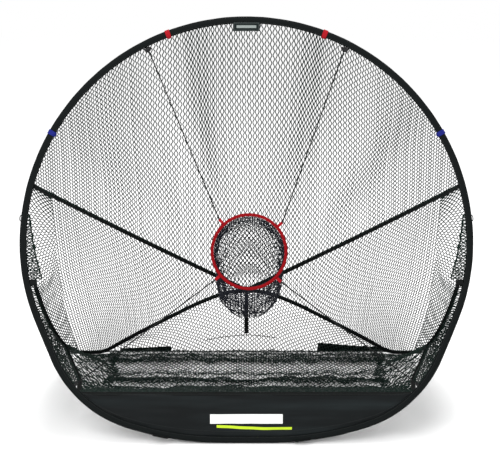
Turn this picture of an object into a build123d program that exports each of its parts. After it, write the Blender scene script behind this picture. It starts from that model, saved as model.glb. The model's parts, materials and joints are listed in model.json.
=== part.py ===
from build123d import *
import os
from math import acos, asin, cos, degrees, radians, sin, sqrt, tan

os.makedirs("parts", exist_ok=True)

# A pop-up golf chipping net.  +X is to the right of a player who faces the net, +Y goes away
# from the player and +Z is up.  The origin is on the ground, midway between the front of the
# stake loops and the back of the hem.

# front hoop: an oval of sprung rod in a fabric sleeve, leaning back
hoop_width = 1524.0  # over the sleeve
hoop_lean = 14.0  # degrees from upright
sleeve_r = 12.0
hoop_rod_r = 4.5
rod_play = 1.0  # between a rod and the inside of its sleeve
foot_run = 160.0  # the flat at the hoop's lowest point
corner_arc_r = 400.0
corner_turn = 50.0
side_run = 130.0  # straight part of the lower side
side_arc_r = 680.0
side_turn = 22.5
hoop_ferrule_length = 70.0
hoop_ferrule_wall = 0.8

# cloth, webbing and netting
net_t = 2.0  # netting, with its knots
cloth_t = 2.0
seam = 1.0  # how far a sewn edge runs into what it is sewn to
strap_width = 15.0
strap_t = 2.0
apron_height = 172.0  # up the hoop's plane, from the ground

# rear bow: a sprung rod in a narrower sleeve, from one side of the hoop to the other
bow_sleeve_r = 7.5
bow_rod_r = 3.5
bow_rod_play = 0.4
rod_in_cap = 16.0
pivot_height = 540.0  # of the bow's ends, up the hoop's plane
pivot_inset = 25.0  # of the bow's ends, from the hoop's centre line
end_cap_r = 9.0
end_cap_width = 18.0
end_cap_neck_r = 5.5
end_cap_reach = 30.0  # from the pivot to the end of the neck
pocket_play = 0.3
pocket_t = 2.0
pocket_clear = 45.0  # from the pivot to the netting above and below it
pocket_open = (-86.0, 82.0)  # the pocket's gap, in degrees above level, looking back
hub_half_run = 60.0  # half of the level run at the top of the bow
hub_back = 712.0
hub_height = 312.0
foot_back = 860.0
# corners of the bow's right half: in from the hoop's side, back from its foot, and height
bow_side = [(53.0, 250.0, 398.0), (59.0, 430.0, 250.0), (68.0, 610.0, 128.0), (86.0, 760.0, 46.0)]
bow_foot = [(120.0, foot_back - 6.0), (194.0, foot_back + 4.0)]
bow_arch = [(292.0, 805.0, 84.0), (437.0, 742.0, 181.0), (582.0, 718.0, 264.0)]
arch_start = 985.0  # along the bow from its pivot
hub_patch_length = 44.0
hub_patch_t = 1.6

# hem on the ground, and what is sewn to the rear net
hem_back = 885.0
hem_cord_r = 2.0
hem_inset = 230.0  # of the hem's straight part, from the hoop's side
hem_tie_at = (184.0, 873.0)  # where the hem cord meets the bow's foot: in from the hoop's side, and back
hem_bend_r = 60.0
# shares of the half hem and of the bow's half arch, from the outer end of each
rear_net_hem = (0.996, 0.902, 0.79, 0.658, 0.517, 0.357, 0.188, 0.047)
rear_net_arch = (0.0, 0.099, 0.205, 0.327, 0.463, 0.615, 0.782, 0.964)
arched_cord_r = 1.5
arched_cord_lift = 5.0
arched_cord_at = [(-160.0, 74.0), (-90.0, 94.0), (0.0, 105.0), (60.0, 100.0), (116.0, 88.0)]  # x, up the net
side_net_front_count = 4  # places in both rows that its front part takes up
flap_left = ((-509.0, 13.0), (-327.0, 22.0))
flap_right = ((598.0, 26.0), (287.0, 47.0))
rear_strap_length = 244.0
flap_t = 2.5
flap_gap = 0.3

# floor of netting: it slopes down from the apron's top edge and then lies on the ground
# its places are given in from the hoop's side, and back from its foot
floor_front = (262.0, 450.0)  # where the slope meets the ground
floor_bow = [(136.0, 836.0), (214.0, 846.0), (230.0, 880.0)]  # round the bow's foot, to the hem
tape_middle = (162.0, 330.0, 100.0)  # where the side tape sags to, with its height
tape_width = 16.0
tape_t = 1.6
net_gap = 13.0  # from the bow's centre line to the netting that isn't sewn to it
strap_turn = 74.8  # of the straps' upper ends, in degrees from the hoop's top
net_gores = 12
net_rings = 8  # from the hub to the hoop; the one by the hub has no openings
side_net_rows = 3  # from the strap down to the bow
net_border = 0.085  # of a cell's width, on each side of its opening
rim_turn = 50.0  # round the sleeve, from its inner edge to where the netting is sewn on
strap_end_gap = 12.0  # from the strap's end to the point where the netting comes together
lower_net_bow = (48.0, 200.0, 350.0, 480.0, 612.0)  # along the bow, down to where the tape meets it
wing_bow = 760.0  # along the bow, to the side of the floor's netting
# along the bow from its pivot, then as shares of its half arch: where its netting is held
side_net_bow = (48.0, 200.0, 370.0, 540.0, 690.0, 800.0, 870.0, 930.0)
side_net_arch = (0.0, 0.114, 0.327, 0.539, 0.752, 0.964)
# the netting's other edge, as shares of the strap
side_net_shares = (0.0, 0.08, 0.17, 0.26, 0.35, 0.42, 0.47, 0.51, 0.54, 0.59, 0.69, 0.79, 0.89, 0.98)

# target ring, held in the hoop's plane by four elastic cords
target_offset = 9.0  # to the right of the middle
target_height = 644.0  # of its centre, up the hoop's plane
target_r = 124.0
target_sleeve_r = 6.25
target_rod_r = 3.5
tab_angles = {"upper_left": 132.7, "upper_right": 41.3, "lower_left": 219.7, "lower_right": 316.5}
tab_reach = 24.0
tab_width = 10.0
tab_t = 3.0
clip_r = 3.0
clip_length = 14.0
cord_r = 1.5
cord_fit = 0.2  # between a cord's end and what it goes into
# pocket: a net bag behind the ring, as radius, distance back, drop and tilt of each hoop of net
pocket_rings = [
    (118.5, 0.0, 0.0, 0.0),
    (118.0, 65.0, 22.0, 18.0),
    (117.0, 141.0, 94.0, 46.0),
    (105.0, 205.0, 165.0, 64.0),
    (60.0, 228.0, 218.0, 70.0),
]

pocket_tube_count = 2  # rings of the pocket before its base is joined on

# cord locks at the top of the upper cords
lock_turn = 26.8  # degrees round the hoop from its top
lock_r = 8.0
lock_back = 12.0  # from the cord to the blind end
lock_front = 6.0  # from the cord to the open end
lock_floor = 2.0
lock_hole_r = 2.2
button_r = 5.0
button_play = 0.15
button_tail = 3.2  # behind the cord
button_head = 12.0  # in front of the cord
button_travel = 3.0
spring_wire_r = 0.4
spring_r = 3.4
spring_turns = 4
lower_anchor_turn = 33.0  # degrees round the corner arc from its lower end
anchor_r = 5.0
anchor_length = 12.0

# small pieces on the sleeve
label_width = 124.0
label_height = 36.0
label_t = 1.6
label_sink = 0.4  # where it is sewn down to the round of the sleeve
red_tab_turn = 20.5  # degrees from the hoop's top
blue_tab_turn = 60.3
side_loop_turn = 83.5
wrap_length = 16.0
wrap_t = 1.6
wrap_play = 0.1
side_loop_r = 7.0
side_loop_cord_r = 1.6
stake_loop_places = ((-1, 20.4), (1, 5.4))  # side of the foot, and the rise of the hoop from it
stake_loop_width = 62.0
stake_loop_reach = 22.0
stake_loop_band = 6.0
stake_loop_t = 2.0
stake_loop_clear = 2.0  # from its front edge to the ground

# worked out from the sizes above
half_width = hoop_width / 2
top_arc_r = half_width - sleeve_r
base_turn = 90.0 - side_turn - corner_turn
stake_front = sleeve_r + stake_loop_reach / 2  # about where the stake loops reach to, before the hoop's foot
front_y = -(hem_back + hem_cord_r + flap_gap + flap_t - stake_front) / 2
lean_sin, lean_cos = sin(radians(hoop_lean)), cos(radians(hoop_lean))
hoop_plane = Plane(origin=(0, front_y, 0), x_dir=(1, 0, 0), z_dir=(0, -lean_cos, lean_sin))


def unit(turn):
    return Vector(cos(radians(turn)), sin(radians(turn)))


def on_hoop(u, s, back=0.0):
    return hoop_plane.from_local_coords(Vector(u, s, -back))


def behind(x, back, z):
    return Vector(x, front_y + back, z)


def inward(inset, back, z):
    """A point in from the hoop's right side, back from its foot, and up from the ground."""
    return behind(half_width - inset, back, z)


def toward(start, end, distance):
    return start + (end - start).normalized() * distance


def mirrored(points):
    return [Vector(-p.X, p.Y, p.Z) for p in points]


# The hoop's centre line, drawn in its own plane from the middle of the foot, anticlockwise.
# The radius of the base arc is what closes the oval.
corner_heading = base_turn + corner_turn
base_arc_r = (
    top_arc_r
    - foot_run / 2
    - corner_arc_r * (sin(radians(corner_heading)) - sin(radians(base_turn)))
    - side_run * cos(radians(corner_heading))
    - side_arc_r * (1 - sin(radians(corner_heading)))
) / sin(radians(base_turn))
foot_s = sleeve_r / lean_cos
foot_mid = Vector(0, foot_s)
foot_end = Vector(foot_run / 2, foot_s)
base_centre = foot_end + Vector(0, base_arc_r)
base_end = base_centre + unit(base_turn - 90) * base_arc_r
corner_centre = base_end + unit(base_turn + 90) * corner_arc_r
corner_end = corner_centre + unit(corner_heading - 90) * corner_arc_r
side_foot = corner_end + unit(corner_heading) * side_run
waist = side_foot + unit(corner_heading + 90) * side_arc_r + Vector(side_arc_r, 0)
waist_s = waist.Y
hoop_top_s = waist_s + top_arc_r


def lower_half_line():
    """Draws the right half of the foot and the corner, in the line being built."""
    Line(foot_mid, foot_end)
    JernArc(foot_end, (1, 0), base_arc_r, base_turn)
    JernArc(base_end, unit(base_turn), corner_arc_r, corner_turn)


def hoop_line():
    """The right half of the hoop's centre line, from the foot to the top."""
    with BuildLine() as half:
        lower_half_line()
        Line(corner_end, side_foot)
        JernArc(side_foot, unit(corner_heading), side_arc_r, side_turn)
        JernArc(waist, (0, 1), top_arc_r, 90)
    return hoop_plane.from_local_coords(half.line)


def upper_hoop(turn, inset=0.0, back=0.0):
    """A point near the upper arc, by degrees from the top, positive to the right."""
    r = top_arc_r - inset
    return on_hoop(r * sin(radians(turn)), waist_s + r * cos(radians(turn)), back)


def side_hoop(s, inset=0.0, back=0.0):
    """A point near the arc between the waist and the straight side, at a height s."""
    r = side_arc_r - inset
    return on_hoop(top_arc_r - side_arc_r + sqrt(r**2 - (waist_s - s) ** 2), s, back)


def corner_hoop(turn, inset=0.0, back=0.0):
    """A point near the corner arc, by degrees from its lower end."""
    at = corner_centre + unit(base_turn - 90 + turn) * (corner_arc_r - inset)
    return on_hoop(at.X, at.Y, back)


# The bow's centre line.  Its arcs are as large as its runs allow.
pivot_u = side_hoop(pivot_height).X - pivot_inset
pivot = on_hoop(pivot_u, pivot_height)
bow_half = (
    [pivot]
    + [inward(*p) for p in bow_side]
    + [inward(inset, back, bow_sleeve_r) for inset, back in bow_foot]
    + [inward(*p) for p in bow_arch]
    + [behind(hub_half_run, hub_back, hub_height)]
)
hub = behind(0, hub_back, hub_height)


def smooth_radii(points):
    radii = []
    for before, here, after in zip(points, points[1:], points[2:]):
        turn = (here - before).get_angle(after - here)
        run = min((here - before).length, (after - here).length)
        radii.append(0.48 * run / tan(radians(turn / 2)))
    return radii


def bow_line(start):
    """The bow's centre line, without the given length at each end."""
    half = [toward(bow_half[0], bow_half[1], start)] + bow_half[1:]
    points = half + mirrored(reversed(half))
    with BuildLine() as line:
        FilletPolyline(*points, radius=smooth_radii(points))
    return line.line


bow_path = Wire(bow_line(0.0).edges())


def along_arch(share):
    """A distance along the bow from its pivot, for a share of its half arch."""
    return arch_start + (bow_path.length / 2 - arch_start) * share


def swept_tube(line, outer_r, inner_r=0.0):
    """Adds a round rod or a hollow sleeve along a line to the part being built."""
    start = Plane(origin=line @ 0, z_dir=line % 0)
    with BuildSketch(start) as section:
        Circle(outer_r)
        if inner_r > 0:
            Circle(inner_r, mode=Mode.SUBTRACT)
    sweep(sections=section.sketch, path=line)


def straight_rod(start, end, radius, inner_r=0.0, mode=Mode.ADD):
    with BuildSketch(Plane(origin=start, z_dir=end - start)) as section:
        Circle(radius)
        if inner_r > 0:
            Circle(inner_r, mode=Mode.SUBTRACT)
    extrude(to_extrude=section.sketch, amount=(end - start).length, mode=mode)


def stretched(edge_a, edge_b):
    """The facets of netting stretched between two rows of points."""
    facets = []
    for a0, a1, b0, b1 in zip(edge_a, edge_a[1:], edge_b, edge_b[1:]):
        facets += [(a0, a1, b0), (a1, b1, b0)]
    return facets


def rows_between(edge_a, edge_b, count):
    """Rows of points that divide the run from one edge to the other evenly."""
    return [[a + (b - a) * (row / count) for a, b in zip(edge_a, edge_b)] for row in range(count + 1)]


def latticed(rows):
    """The facets of netting in four-sided cells, each with an opening that leaves a border."""

    def inside(cell, across, along):
        near = cell[0] + (cell[1] - cell[0]) * across
        far = cell[3] + (cell[2] - cell[3]) * across
        return near + (far - near) * along

    low, high = net_border, 1 - net_border
    facets = []
    for near, far in zip(rows, rows[1:]):
        for outer in zip(near, near[1:], far[1:], far):
            inner = [inside(outer, *at) for at in ((low, low), (high, low), (high, high), (low, high))]
            for start in range(4):
                end = (start + 1) % 4
                facets.append((outer[start], outer[end], inner[end]))
                facets.append((outer[start], inner[end], inner[start]))
    return facets


def both_sides(facets):
    return facets + [mirrored(reversed(facet)) for facet in facets]


def place(point):
    return round(point.X, 3), round(point.Y, 3), round(point.Z, 3)


def netting(facets):
    """Adds a sheet in three-cornered facets, all wound the same way, that meet edge to edge."""
    square = {}
    for facet in facets:
        across = (facet[1] - facet[0]).cross(facet[2] - facet[0]).normalized()
        for corner in facet:
            square[place(corner)] = square.get(place(corner), Vector(0, 0, 0)) + across

    def skin(point, side):
        return point + square[place(point)].normalized() * (side * net_t / 2)

    edges = {}
    for facet in facets:
        for start, end in zip(facet, (*facet[1:], facet[0])):
            edges[place(start), place(end)] = (start, end)
    triangles = []
    for a, b, c in facets:
        triangles.append((skin(a, 1), skin(b, 1), skin(c, 1)))
        triangles.append((skin(a, -1), skin(c, -1), skin(b, -1)))
    for (first, last), (start, end) in edges.items():
        if (last, first) not in edges:
            triangles.append((skin(start, -1), skin(end, -1), skin(end, 1)))
            triangles.append((skin(start, -1), skin(end, 1), skin(start, 1)))
    faces = [Face(Wire.make_polygon(corners)) for corners in triangles]
    add(Solid(Shell(faces)))


def band(start, end, across, width, thickness):
    """Adds a flat strap between two points, its width along across."""
    along = (end - start).normalized()
    flat = Plane(origin=start, x_dir=across, z_dir=along)
    with BuildSketch(flat) as section:
        Rectangle(width, thickness)
    extrude(to_extrude=section.sketch, amount=(end - start).length)


def save(builder, name):
    builder.part.label = name
    export_step(builder.part, f"parts/{name}.step")


# ---- front hoop ----
def hoop_tube(outer_r, inner_r=0.0):
    """Adds the whole oval: one half swept up from the foot, and its mirror image."""
    swept_tube(hoop_line(), outer_r, inner_r)
    mirror(about=Plane.YZ)


with BuildPart() as hoop_rod:
    hoop_tube(hoop_rod_r)
save(hoop_rod, "hoop_rod")

with BuildPart() as hoop_ferrule:
    ferrule_end = foot_mid + Vector(hoop_ferrule_length / 2, 0)
    ferrule_start = foot_mid - Vector(hoop_ferrule_length / 2, 0)
    straight_rod(
        on_hoop(ferrule_start.X, foot_s),
        on_hoop(ferrule_end.X, foot_s),
        hoop_rod_r + hoop_ferrule_wall,
        hoop_rod_r,
    )
save(hoop_ferrule, "hoop_ferrule")

with BuildPart() as hoop_sleeve:
    hoop_tube(sleeve_r, hoop_rod_r + rod_play)
save(hoop_sleeve, "hoop_sleeve")

with BuildPart() as apron:
    with BuildSketch(hoop_plane):
        with BuildLine():
            lower_half_line()
            Line(corner_end, (0, corner_end.Y))
            Line((0, corner_end.Y), foot_mid)
        make_face()
        mirror(about=Plane.YZ)
        offset(amount=-(sleeve_r - seam), kind=Kind.INTERSECTION)
        with Locations((0, apron_height)):
            Rectangle(hoop_width, hoop_width, align=(Align.CENTER, Align.MIN), mode=Mode.SUBTRACT)
    extrude(amount=cloth_t / 2, both=True)
save(apron, "apron")

# ---- pieces sewn to the hoop's sleeve ----
def wraps(turn):
    """Adds a band of webbing round the sleeve on each side of the hoop."""
    for side in (-1, 1):
        start = upper_hoop(side * turn)
        along = upper_hoop(side * turn + 90) - on_hoop(0, waist_s)
        half = along.normalized() * (wrap_length / 2)
        straight_rod(start - half, start + half, sleeve_r + wrap_play + wrap_t, sleeve_r + wrap_play)


with BuildPart() as red_tabs:
    wraps(red_tab_turn)
save(red_tabs, "red_tabs")

with BuildPart() as blue_tabs:
    wraps(blue_tab_turn)
save(blue_tabs, "blue_tabs")

with BuildPart() as top_label:
    label_front = sleeve_r + label_t / 2 - label_sink
    label_at = on_hoop(0, hoop_top_s + sleeve_r / 2 - label_height / 2, -label_front)
    with BuildSketch(Plane(origin=label_at, x_dir=(1, 0, 0), z_dir=hoop_plane.z_dir)):
        Rectangle(label_width, label_height)
    extrude(amount=label_t / 2, both=True)
save(top_label, "top_label")

with BuildPart() as side_loops:
    for side in (-1, 1):
        at = upper_hoop(side * side_loop_turn, inset=-(sleeve_r + side_loop_r / 2))
        with BuildPart(Plane(origin=at, z_dir=hoop_plane.z_dir), mode=Mode.PRIVATE) as loop:
            Torus(side_loop_r, side_loop_cord_r)
        add(loop.part)
save(side_loops, "side_loops")


def base_hoop(side, rise):
    """A point on the centre line's base arc, and the way that it runs there."""
    slope = side * acos(1 - rise / base_arc_r)
    at = on_hoop(side * foot_run / 2 + base_arc_r * sin(slope), foot_s + rise)
    return at, on_hoop(cos(slope), sin(slope)) - on_hoop(0, 0)


with BuildPart() as stake_loops:
    for side, rise in stake_loop_places:
        at, along = base_hoop(side, rise)
        reach = sleeve_r + stake_loop_reach
        dip = asin((at.Z - stake_loop_clear) / reach)
        forward = Vector(0, -cos(dip), -sin(dip))
        lying = Plane(origin=at, x_dir=along, z_dir=along.cross(forward))
        with BuildSketch(lying) as loop:
            with Locations((0, sleeve_r - seam)):
                Rectangle(stake_loop_width, stake_loop_reach + seam, align=(Align.CENTER, Align.MIN))
            with Locations((0, sleeve_r + 1)):
                Rectangle(
                    stake_loop_width - 2 * stake_loop_band,
                    stake_loop_reach - stake_loop_band - 1,
                    align=(Align.CENTER, Align.MIN),
                    mode=Mode.SUBTRACT,
                )
        extrude(to_extrude=loop.sketch, amount=stake_loop_t / 2, both=True)
save(stake_loops, "stake_loops")


# ---- rear bow ----
with BuildPart() as bow_rod:
    swept_tube(bow_line(end_cap_reach - rod_in_cap), bow_rod_r)
save(bow_rod, "bow_rod")

with BuildPart() as bow_sleeve:
    swept_tube(bow_line(end_cap_reach), bow_sleeve_r, bow_rod_r + bow_rod_play)
save(bow_sleeve, "bow_sleeve")

with BuildPart() as end_cap_right:
    across = Vector(end_cap_width / 2, 0, 0)
    neck_end = toward(bow_half[0], bow_half[1], end_cap_reach)
    neck_socket = toward(bow_half[0], bow_half[1], end_cap_reach - rod_in_cap)
    straight_rod(pivot - across, pivot + across, end_cap_r)
    straight_rod(pivot, neck_end, end_cap_neck_r)
    straight_rod(neck_socket, neck_end, bow_rod_r, mode=Mode.SUBTRACT)
save(end_cap_right, "end_cap_right")

with BuildPart() as bow_pocket_right:
    pocket_start = pivot - Vector(end_cap_width / 2, 0, 0)
    with BuildSketch(Plane(origin=pocket_start, x_dir=(0, 1, 0), z_dir=(1, 0, 0))):
        pocket_r = end_cap_r + pocket_play + pocket_t
        Circle(pocket_r)
        Circle(end_cap_r + pocket_play, mode=Mode.SUBTRACT)
        low, high = pocket_open
        wedge = [unit(low) * pocket_r * 2, unit((low + high) / 2) * pocket_r * 4, unit(high) * pocket_r * 2]
        with BuildLine():
            Polyline(Vector(0, 0), *wedge, close=True)
        make_face(mode=Mode.SUBTRACT)
    extrude(amount=end_cap_width / 2 + pivot_inset - sleeve_r + seam)
save(bow_pocket_right, "bow_pocket_right")

for right, name in ((end_cap_right, "end_cap_left"), (bow_pocket_right, "bow_pocket_left")):
    with BuildPart() as left:
        mirror(right.part, about=Plane.YZ)
    save(left, name)

hub_patch_r = bow_sleeve_r + hub_patch_t
with BuildPart() as hub_patch:
    half_patch = Vector(hub_patch_length / 2, 0, 0)
    straight_rod(hub - half_patch, hub + half_patch, hub_patch_r, bow_sleeve_r)
save(hub_patch, "hub_patch")

hem_mid = behind(0, hem_back, hem_cord_r)
rear_down = (hem_mid - hub).normalized()
rear_front = Vector(1, 0, 0).cross(rear_down).normalized()  # out of the rear net, to the front
if rear_front.Y > 0:
    rear_front = -rear_front

with BuildPart() as rear_strap:
    strap_lift = rear_front * (net_t / 2 + strap_t / 2 + seam / 10)
    strap_start = hub + rear_down * (hub_patch_r - seam / 2) + strap_lift
    strap_end = strap_start + rear_down * (rear_strap_length - hub_patch_r)
    band(strap_start, strap_end, (1, 0, 0), strap_width, strap_t)
save(rear_strap, "rear_strap")

with BuildPart() as arched_cord:
    cord_lift = rear_front * (net_t / 2 + arched_cord_lift)
    cord_points = [hem_mid - rear_down * up + cord_lift + Vector(x, 0, 0) for x, up in arched_cord_at]
    for start, end in zip(cord_points, cord_points[1:]):
        straight_rod(start, end, arched_cord_r)
        with Locations(end):
            Sphere(arched_cord_r)
save(arched_cord, "arched_cord")


def beside_bow(along, other, gap=net_gap):
    """A point square off the bow's centre line, on the side of another point."""
    at = bow_path.position_at(along, position_mode=PositionMode.LENGTH)
    tangent = bow_path.tangent_at(along, position_mode=PositionMode.LENGTH)
    offset = (other - at) - tangent * (other - at).dot(tangent)
    return at + offset.normalized() * gap


with BuildPart() as rear_net:
    hem = [behind((half_width - hem_inset) * share, hem_back, hem_cord_r) for share in rear_net_hem]
    sewn = [
        beside_bow(along_arch(share), other, bow_sleeve_r - seam)
        for share, other in zip(rear_net_arch, hem)
    ]
    netting(stretched(sewn + mirrored(reversed(sewn)), hem + mirrored(reversed(hem))))
save(rear_net, "rear_net")

with BuildPart() as hem_cord:
    hem_end = inward(hem_inset, hem_back, hem_cord_r)
    hem_tie = inward(*hem_tie_at, hem_cord_r)
    half_hem = [hem_tie, hem_end]
    with BuildLine() as hem_line:
        FilletPolyline(*half_hem, *mirrored(reversed(half_hem)), radius=hem_bend_r)
    swept_tube(hem_line.line, hem_cord_r)
save(hem_cord, "hem_cord")


def foot_flap(name, outer, inner):
    """A low flap of cloth behind the hem: each end is an x and a height."""
    back = hem_back + hem_cord_r + flap_gap
    with BuildPart() as flap:
        with BuildSketch(Plane(origin=behind(0, back, 0), x_dir=(1, 0, 0), z_dir=(0, -1, 0))):
            with BuildLine():
                Polyline((outer[0], 0), outer, inner, (inner[0], 0), close=True)
            make_face()
        extrude(amount=-flap_t)
    save(flap, name)


foot_flap("foot_flap_left", *flap_left)
foot_flap("foot_flap_right", *flap_right)


# ---- netting and straps between the hoop and the bow ----
net_inset = (sleeve_r - seam) * cos(radians(rim_turn))
net_back = (sleeve_r - seam) * sin(radians(rim_turn))
hub_front = toward(hub, on_hoop(0, waist_s), hub_patch_r + net_t)
strap_top = upper_hoop(strap_turn, net_inset, net_back)

gore = strap_turn / net_gores
rim_inset = top_arc_r - (top_arc_r - net_inset) / cos(radians(gore))
rim = [upper_hoop(gore * (2 * i - net_gores), rim_inset, net_back) for i in range(net_gores + 1)]
strap_along = (hub_front - strap_top).normalized()
strap_down = (strap_top - rim[-2]) - strap_along * (strap_top - rim[-2]).dot(strap_along)
strap_edge = strap_down.normalized() * (strap_width / 2 - seam)

with BuildPart() as back_net:
    half_rim = rim[net_gores // 2 : -1]
    first = 1 / net_rings
    narrowed = hub_front + (half_rim[-1] - hub_front) * (strap_edge.length / strap_down.length)
    strap_side = strap_top - strap_edge
    inner_ring = [hub_front + (end - hub_front) * first for end in half_rim]
    inner_ring.append(strap_side + (hub_front - strap_top) * (1 - first))
    middle_facets = [(hub_front, start, end) for start, end in zip(inner_ring, inner_ring[1:-2])]
    middle_facets.append((hub_front, inner_ring[-3], narrowed))
    middle_facets.append((narrowed, inner_ring[-3], inner_ring[-2]))
    middle_facets.append((narrowed, inner_ring[-2], inner_ring[-1]))
    rings = rows_between(inner_ring, half_rim + [strap_side], net_rings - 1)
    netting(both_sides(middle_facets + latticed(list(reversed(rings)))))
save(back_net, "back_net")

with BuildPart() as side_strap_right:
    band(strap_top, hub_front - strap_along * strap_end_gap, strap_down, strap_width, strap_t)
save(side_strap_right, "side_strap_right")

strap_run = (hub_front - strap_top).length
on_strap = [strap_top + strap_edge + strap_along * strap_run * share for share in side_net_shares]
held_along = side_net_bow + tuple(along_arch(share) for share in side_net_arch)
bow_edge = [beside_bow(along, other) for along, other in zip(held_along, on_strap)]

with BuildPart() as side_net_right:
    upper_edge = upper_hoop(side_loop_turn, net_inset, net_back)
    lower_edge = side_hoop(pivot_height + pocket_clear, net_inset, net_back)
    front = slice(side_net_front_count + 1)
    front_rows = rows_between(on_strap[front], bow_edge[front], side_net_rows)
    first_cells = [row[0] for row in front_rows]
    by_hoop = [(start, end, lower_edge) for start, end in zip(first_cells, first_cells[1:])]
    by_hoop.append((on_strap[0], lower_edge, upper_edge))
    netting(by_hoop + latticed(front_rows))
save(side_net_right, "side_net_right")

with BuildPart() as rear_side_net_right:
    rear = slice(side_net_front_count, None)
    netting(latticed(rows_between(on_strap[rear], bow_edge[rear], side_net_rows)))
save(rear_side_net_right, "rear_side_net_right")

apron_turn = degrees(acos((corner_centre.Y - apron_height) / (corner_arc_r - net_inset))) - base_turn
apron_corner = corner_hoop(apron_turn, net_inset, net_back)
tape_mid = inward(*tape_middle)
ground_corner = inward(*floor_front, net_t / 2)
tape_bow = beside_bow(lower_net_bow[-1], ground_corner)

with BuildPart() as lower_net_right:
    hoop_edge = [
        side_hoop(pivot_height - pocket_clear, net_inset, net_back),
        on_hoop(side_foot.X - net_inset * sin(radians(corner_heading)), side_foot.Y, net_back),
        corner_hoop(corner_turn, net_inset, net_back),
        corner_hoop((apron_turn + 2 * corner_turn) / 3, net_inset, net_back),
        corner_hoop((2 * apron_turn + corner_turn) / 3, net_inset, net_back),
        apron_corner,
    ]
    bow_edge = [beside_bow(along, other) for along, other in zip(lower_net_bow[:-1], hoop_edge)]
    netting(stretched(hoop_edge, bow_edge + [tape_bow, tape_mid]))
save(lower_net_right, "lower_net_right")

with BuildPart() as side_tape_right:
    tape_across = Vector(0, 0, 1)
    for start, end in ((tape_bow, tape_mid), (tape_mid, apron_corner)):
        across = (end - start).cross(tape_across)
        band(start, end, across, tape_width, tape_t)
save(side_tape_right, "side_tape_right")

for right, name in (
    (side_strap_right, "side_strap_left"),
    (side_net_right, "side_net_left"),
    (rear_side_net_right, "rear_side_net_left"),
    (lower_net_right, "lower_net_left"),
    (side_tape_right, "side_tape_left"),
):
    with BuildPart() as left:
        mirror(right.part, about=Plane.YZ)
    save(left, name)

with BuildPart() as floor_net:
    apron_back = on_hoop(apron_corner.X, apron_height, cloth_t / 2)
    bow_corner = beside_bow(wing_bow, ground_corner)
    floor_edge = [inward(inset, back, net_t / 2) for inset, back in floor_bow]
    front_corner = Vector(0, ground_corner.Y, ground_corner.Z)
    hem_corner = Vector(0, floor_edge[-1].Y, floor_edge[-1].Z)
    around = [ground_corner] + floor_edge + [hem_corner]
    wing_edge = [apron_back, tape_mid, tape_bow, bow_corner, floor_edge[0]]
    apron_middle = Vector(0, apron_back.Y, apron_back.Z)
    facets = [(apron_middle, apron_back, ground_corner), (apron_middle, ground_corner, front_corner)]
    facets += [(front_corner, start, end) for start, end in zip(around, around[1:])]
    facets += [(ground_corner, start, end) for start, end in zip(wing_edge, wing_edge[1:])]
    netting(both_sides(facets))
save(floor_net, "floor_net")


# ---- target ring, its pocket and its cords ----
target_centre = on_hoop(target_offset, target_height)
target_plane = Plane(origin=target_centre, x_dir=(1, 0, 0), z_dir=hoop_plane.z_dir)


def on_target(turn, r, back=0.0):
    return target_plane.from_local_coords(unit(turn) * r - Vector(0, 0, back))


with BuildPart(target_plane) as target_rod:
    Torus(target_r, target_rod_r)
save(target_rod, "target_rod")

with BuildPart(target_plane) as target_sleeve:
    Torus(target_r, target_sleeve_r)
    Torus(target_r, target_rod_r + bow_rod_play, mode=Mode.SUBTRACT)
save(target_sleeve, "target_sleeve")

with BuildPart() as target_tabs:
    for turn in tab_angles.values():
        root = on_target(turn, target_r + target_sleeve_r - seam)
        tip = on_target(turn, target_r + tab_reach)
        band(root, tip, on_target(turn + 90, 1) - target_centre, tab_width, tab_t)
save(target_tabs, "target_tabs")


def lock_point(side, inset):
    return upper_hoop(side * lock_turn, inset)


lock_inset = sleeve_r + lock_r + cord_fit
cord_ends = {
    "upper_left": lock_point(-1, lock_inset),
    "upper_right": lock_point(1, lock_inset),
    "lower_left": mirrored([corner_hoop(lower_anchor_turn)])[0],
    "lower_right": corner_hoop(lower_anchor_turn),
}
tab_tips = {name: on_target(turn, target_r + tab_reach) for name, turn in tab_angles.items()}

with BuildPart() as cord_clips:
    for name, tip in tab_tips.items():
        straight_rod(toward(tip, cord_ends[name], -seam), toward(tip, cord_ends[name], clip_length), clip_r)
save(cord_clips, "cord_clips")

with BuildPart() as cord_anchors:
    for name in ("lower_left", "lower_right"):
        sleeve_side = toward(cord_ends[name], tab_tips[name], sleeve_r - seam)
        straight_rod(sleeve_side, toward(sleeve_side, tab_tips[name], anchor_length), anchor_r)
save(cord_anchors, "cord_anchors")

for name, tip in tab_tips.items():
    start = toward(tip, cord_ends[name], clip_length + cord_fit)
    if name.startswith("upper"):
        end = toward(cord_ends[name], tip, -lock_r)
    else:
        end = toward(cord_ends[name], tip, sleeve_r - seam + anchor_length + cord_fit)
    with BuildPart() as cord:
        straight_rod(start, end, cord_r)
    save(cord, f"{name.split('_')[0]}_cord_{name.split('_')[1]}")


def pocket_plane(back, drop, tilt, ahead=0.0):
    """The plane of one hoop of the pocket's net, moved along its own axis."""
    down = Vector(0, -1)
    axis = Vector(0, 0, -cos(radians(tilt))) + down * sin(radians(tilt))
    at = down * drop - Vector(0, 0, back) + axis * ahead
    return Plane(
        origin=target_plane.from_local_coords(at),
        x_dir=(1, 0, 0),
        z_dir=target_plane.from_local_coords(axis) - target_centre,
    )


def net_bag(rings, closed):
    """Adds a tube of net through the rings, with a bottom at the last one where it is closed."""
    outside, inside = [], []
    for number, (r, back, drop, tilt) in enumerate(rings):
        ahead = 0.0
        if number == 0:
            ahead = -seam
        elif number == len(rings) - 1:
            ahead = -net_t if closed else seam
        with BuildSketch(pocket_plane(back, drop, tilt)) as outer_ring:
            Circle(r)
        with BuildSketch(pocket_plane(back, drop, tilt, ahead)) as inner_ring:
            Circle(r - net_t)
        outside.append(outer_ring.sketch)
        inside.append(inner_ring.sketch)
    loft(sections=outside, ruled=True)
    loft(sections=inside, ruled=True, mode=Mode.SUBTRACT)


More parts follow.
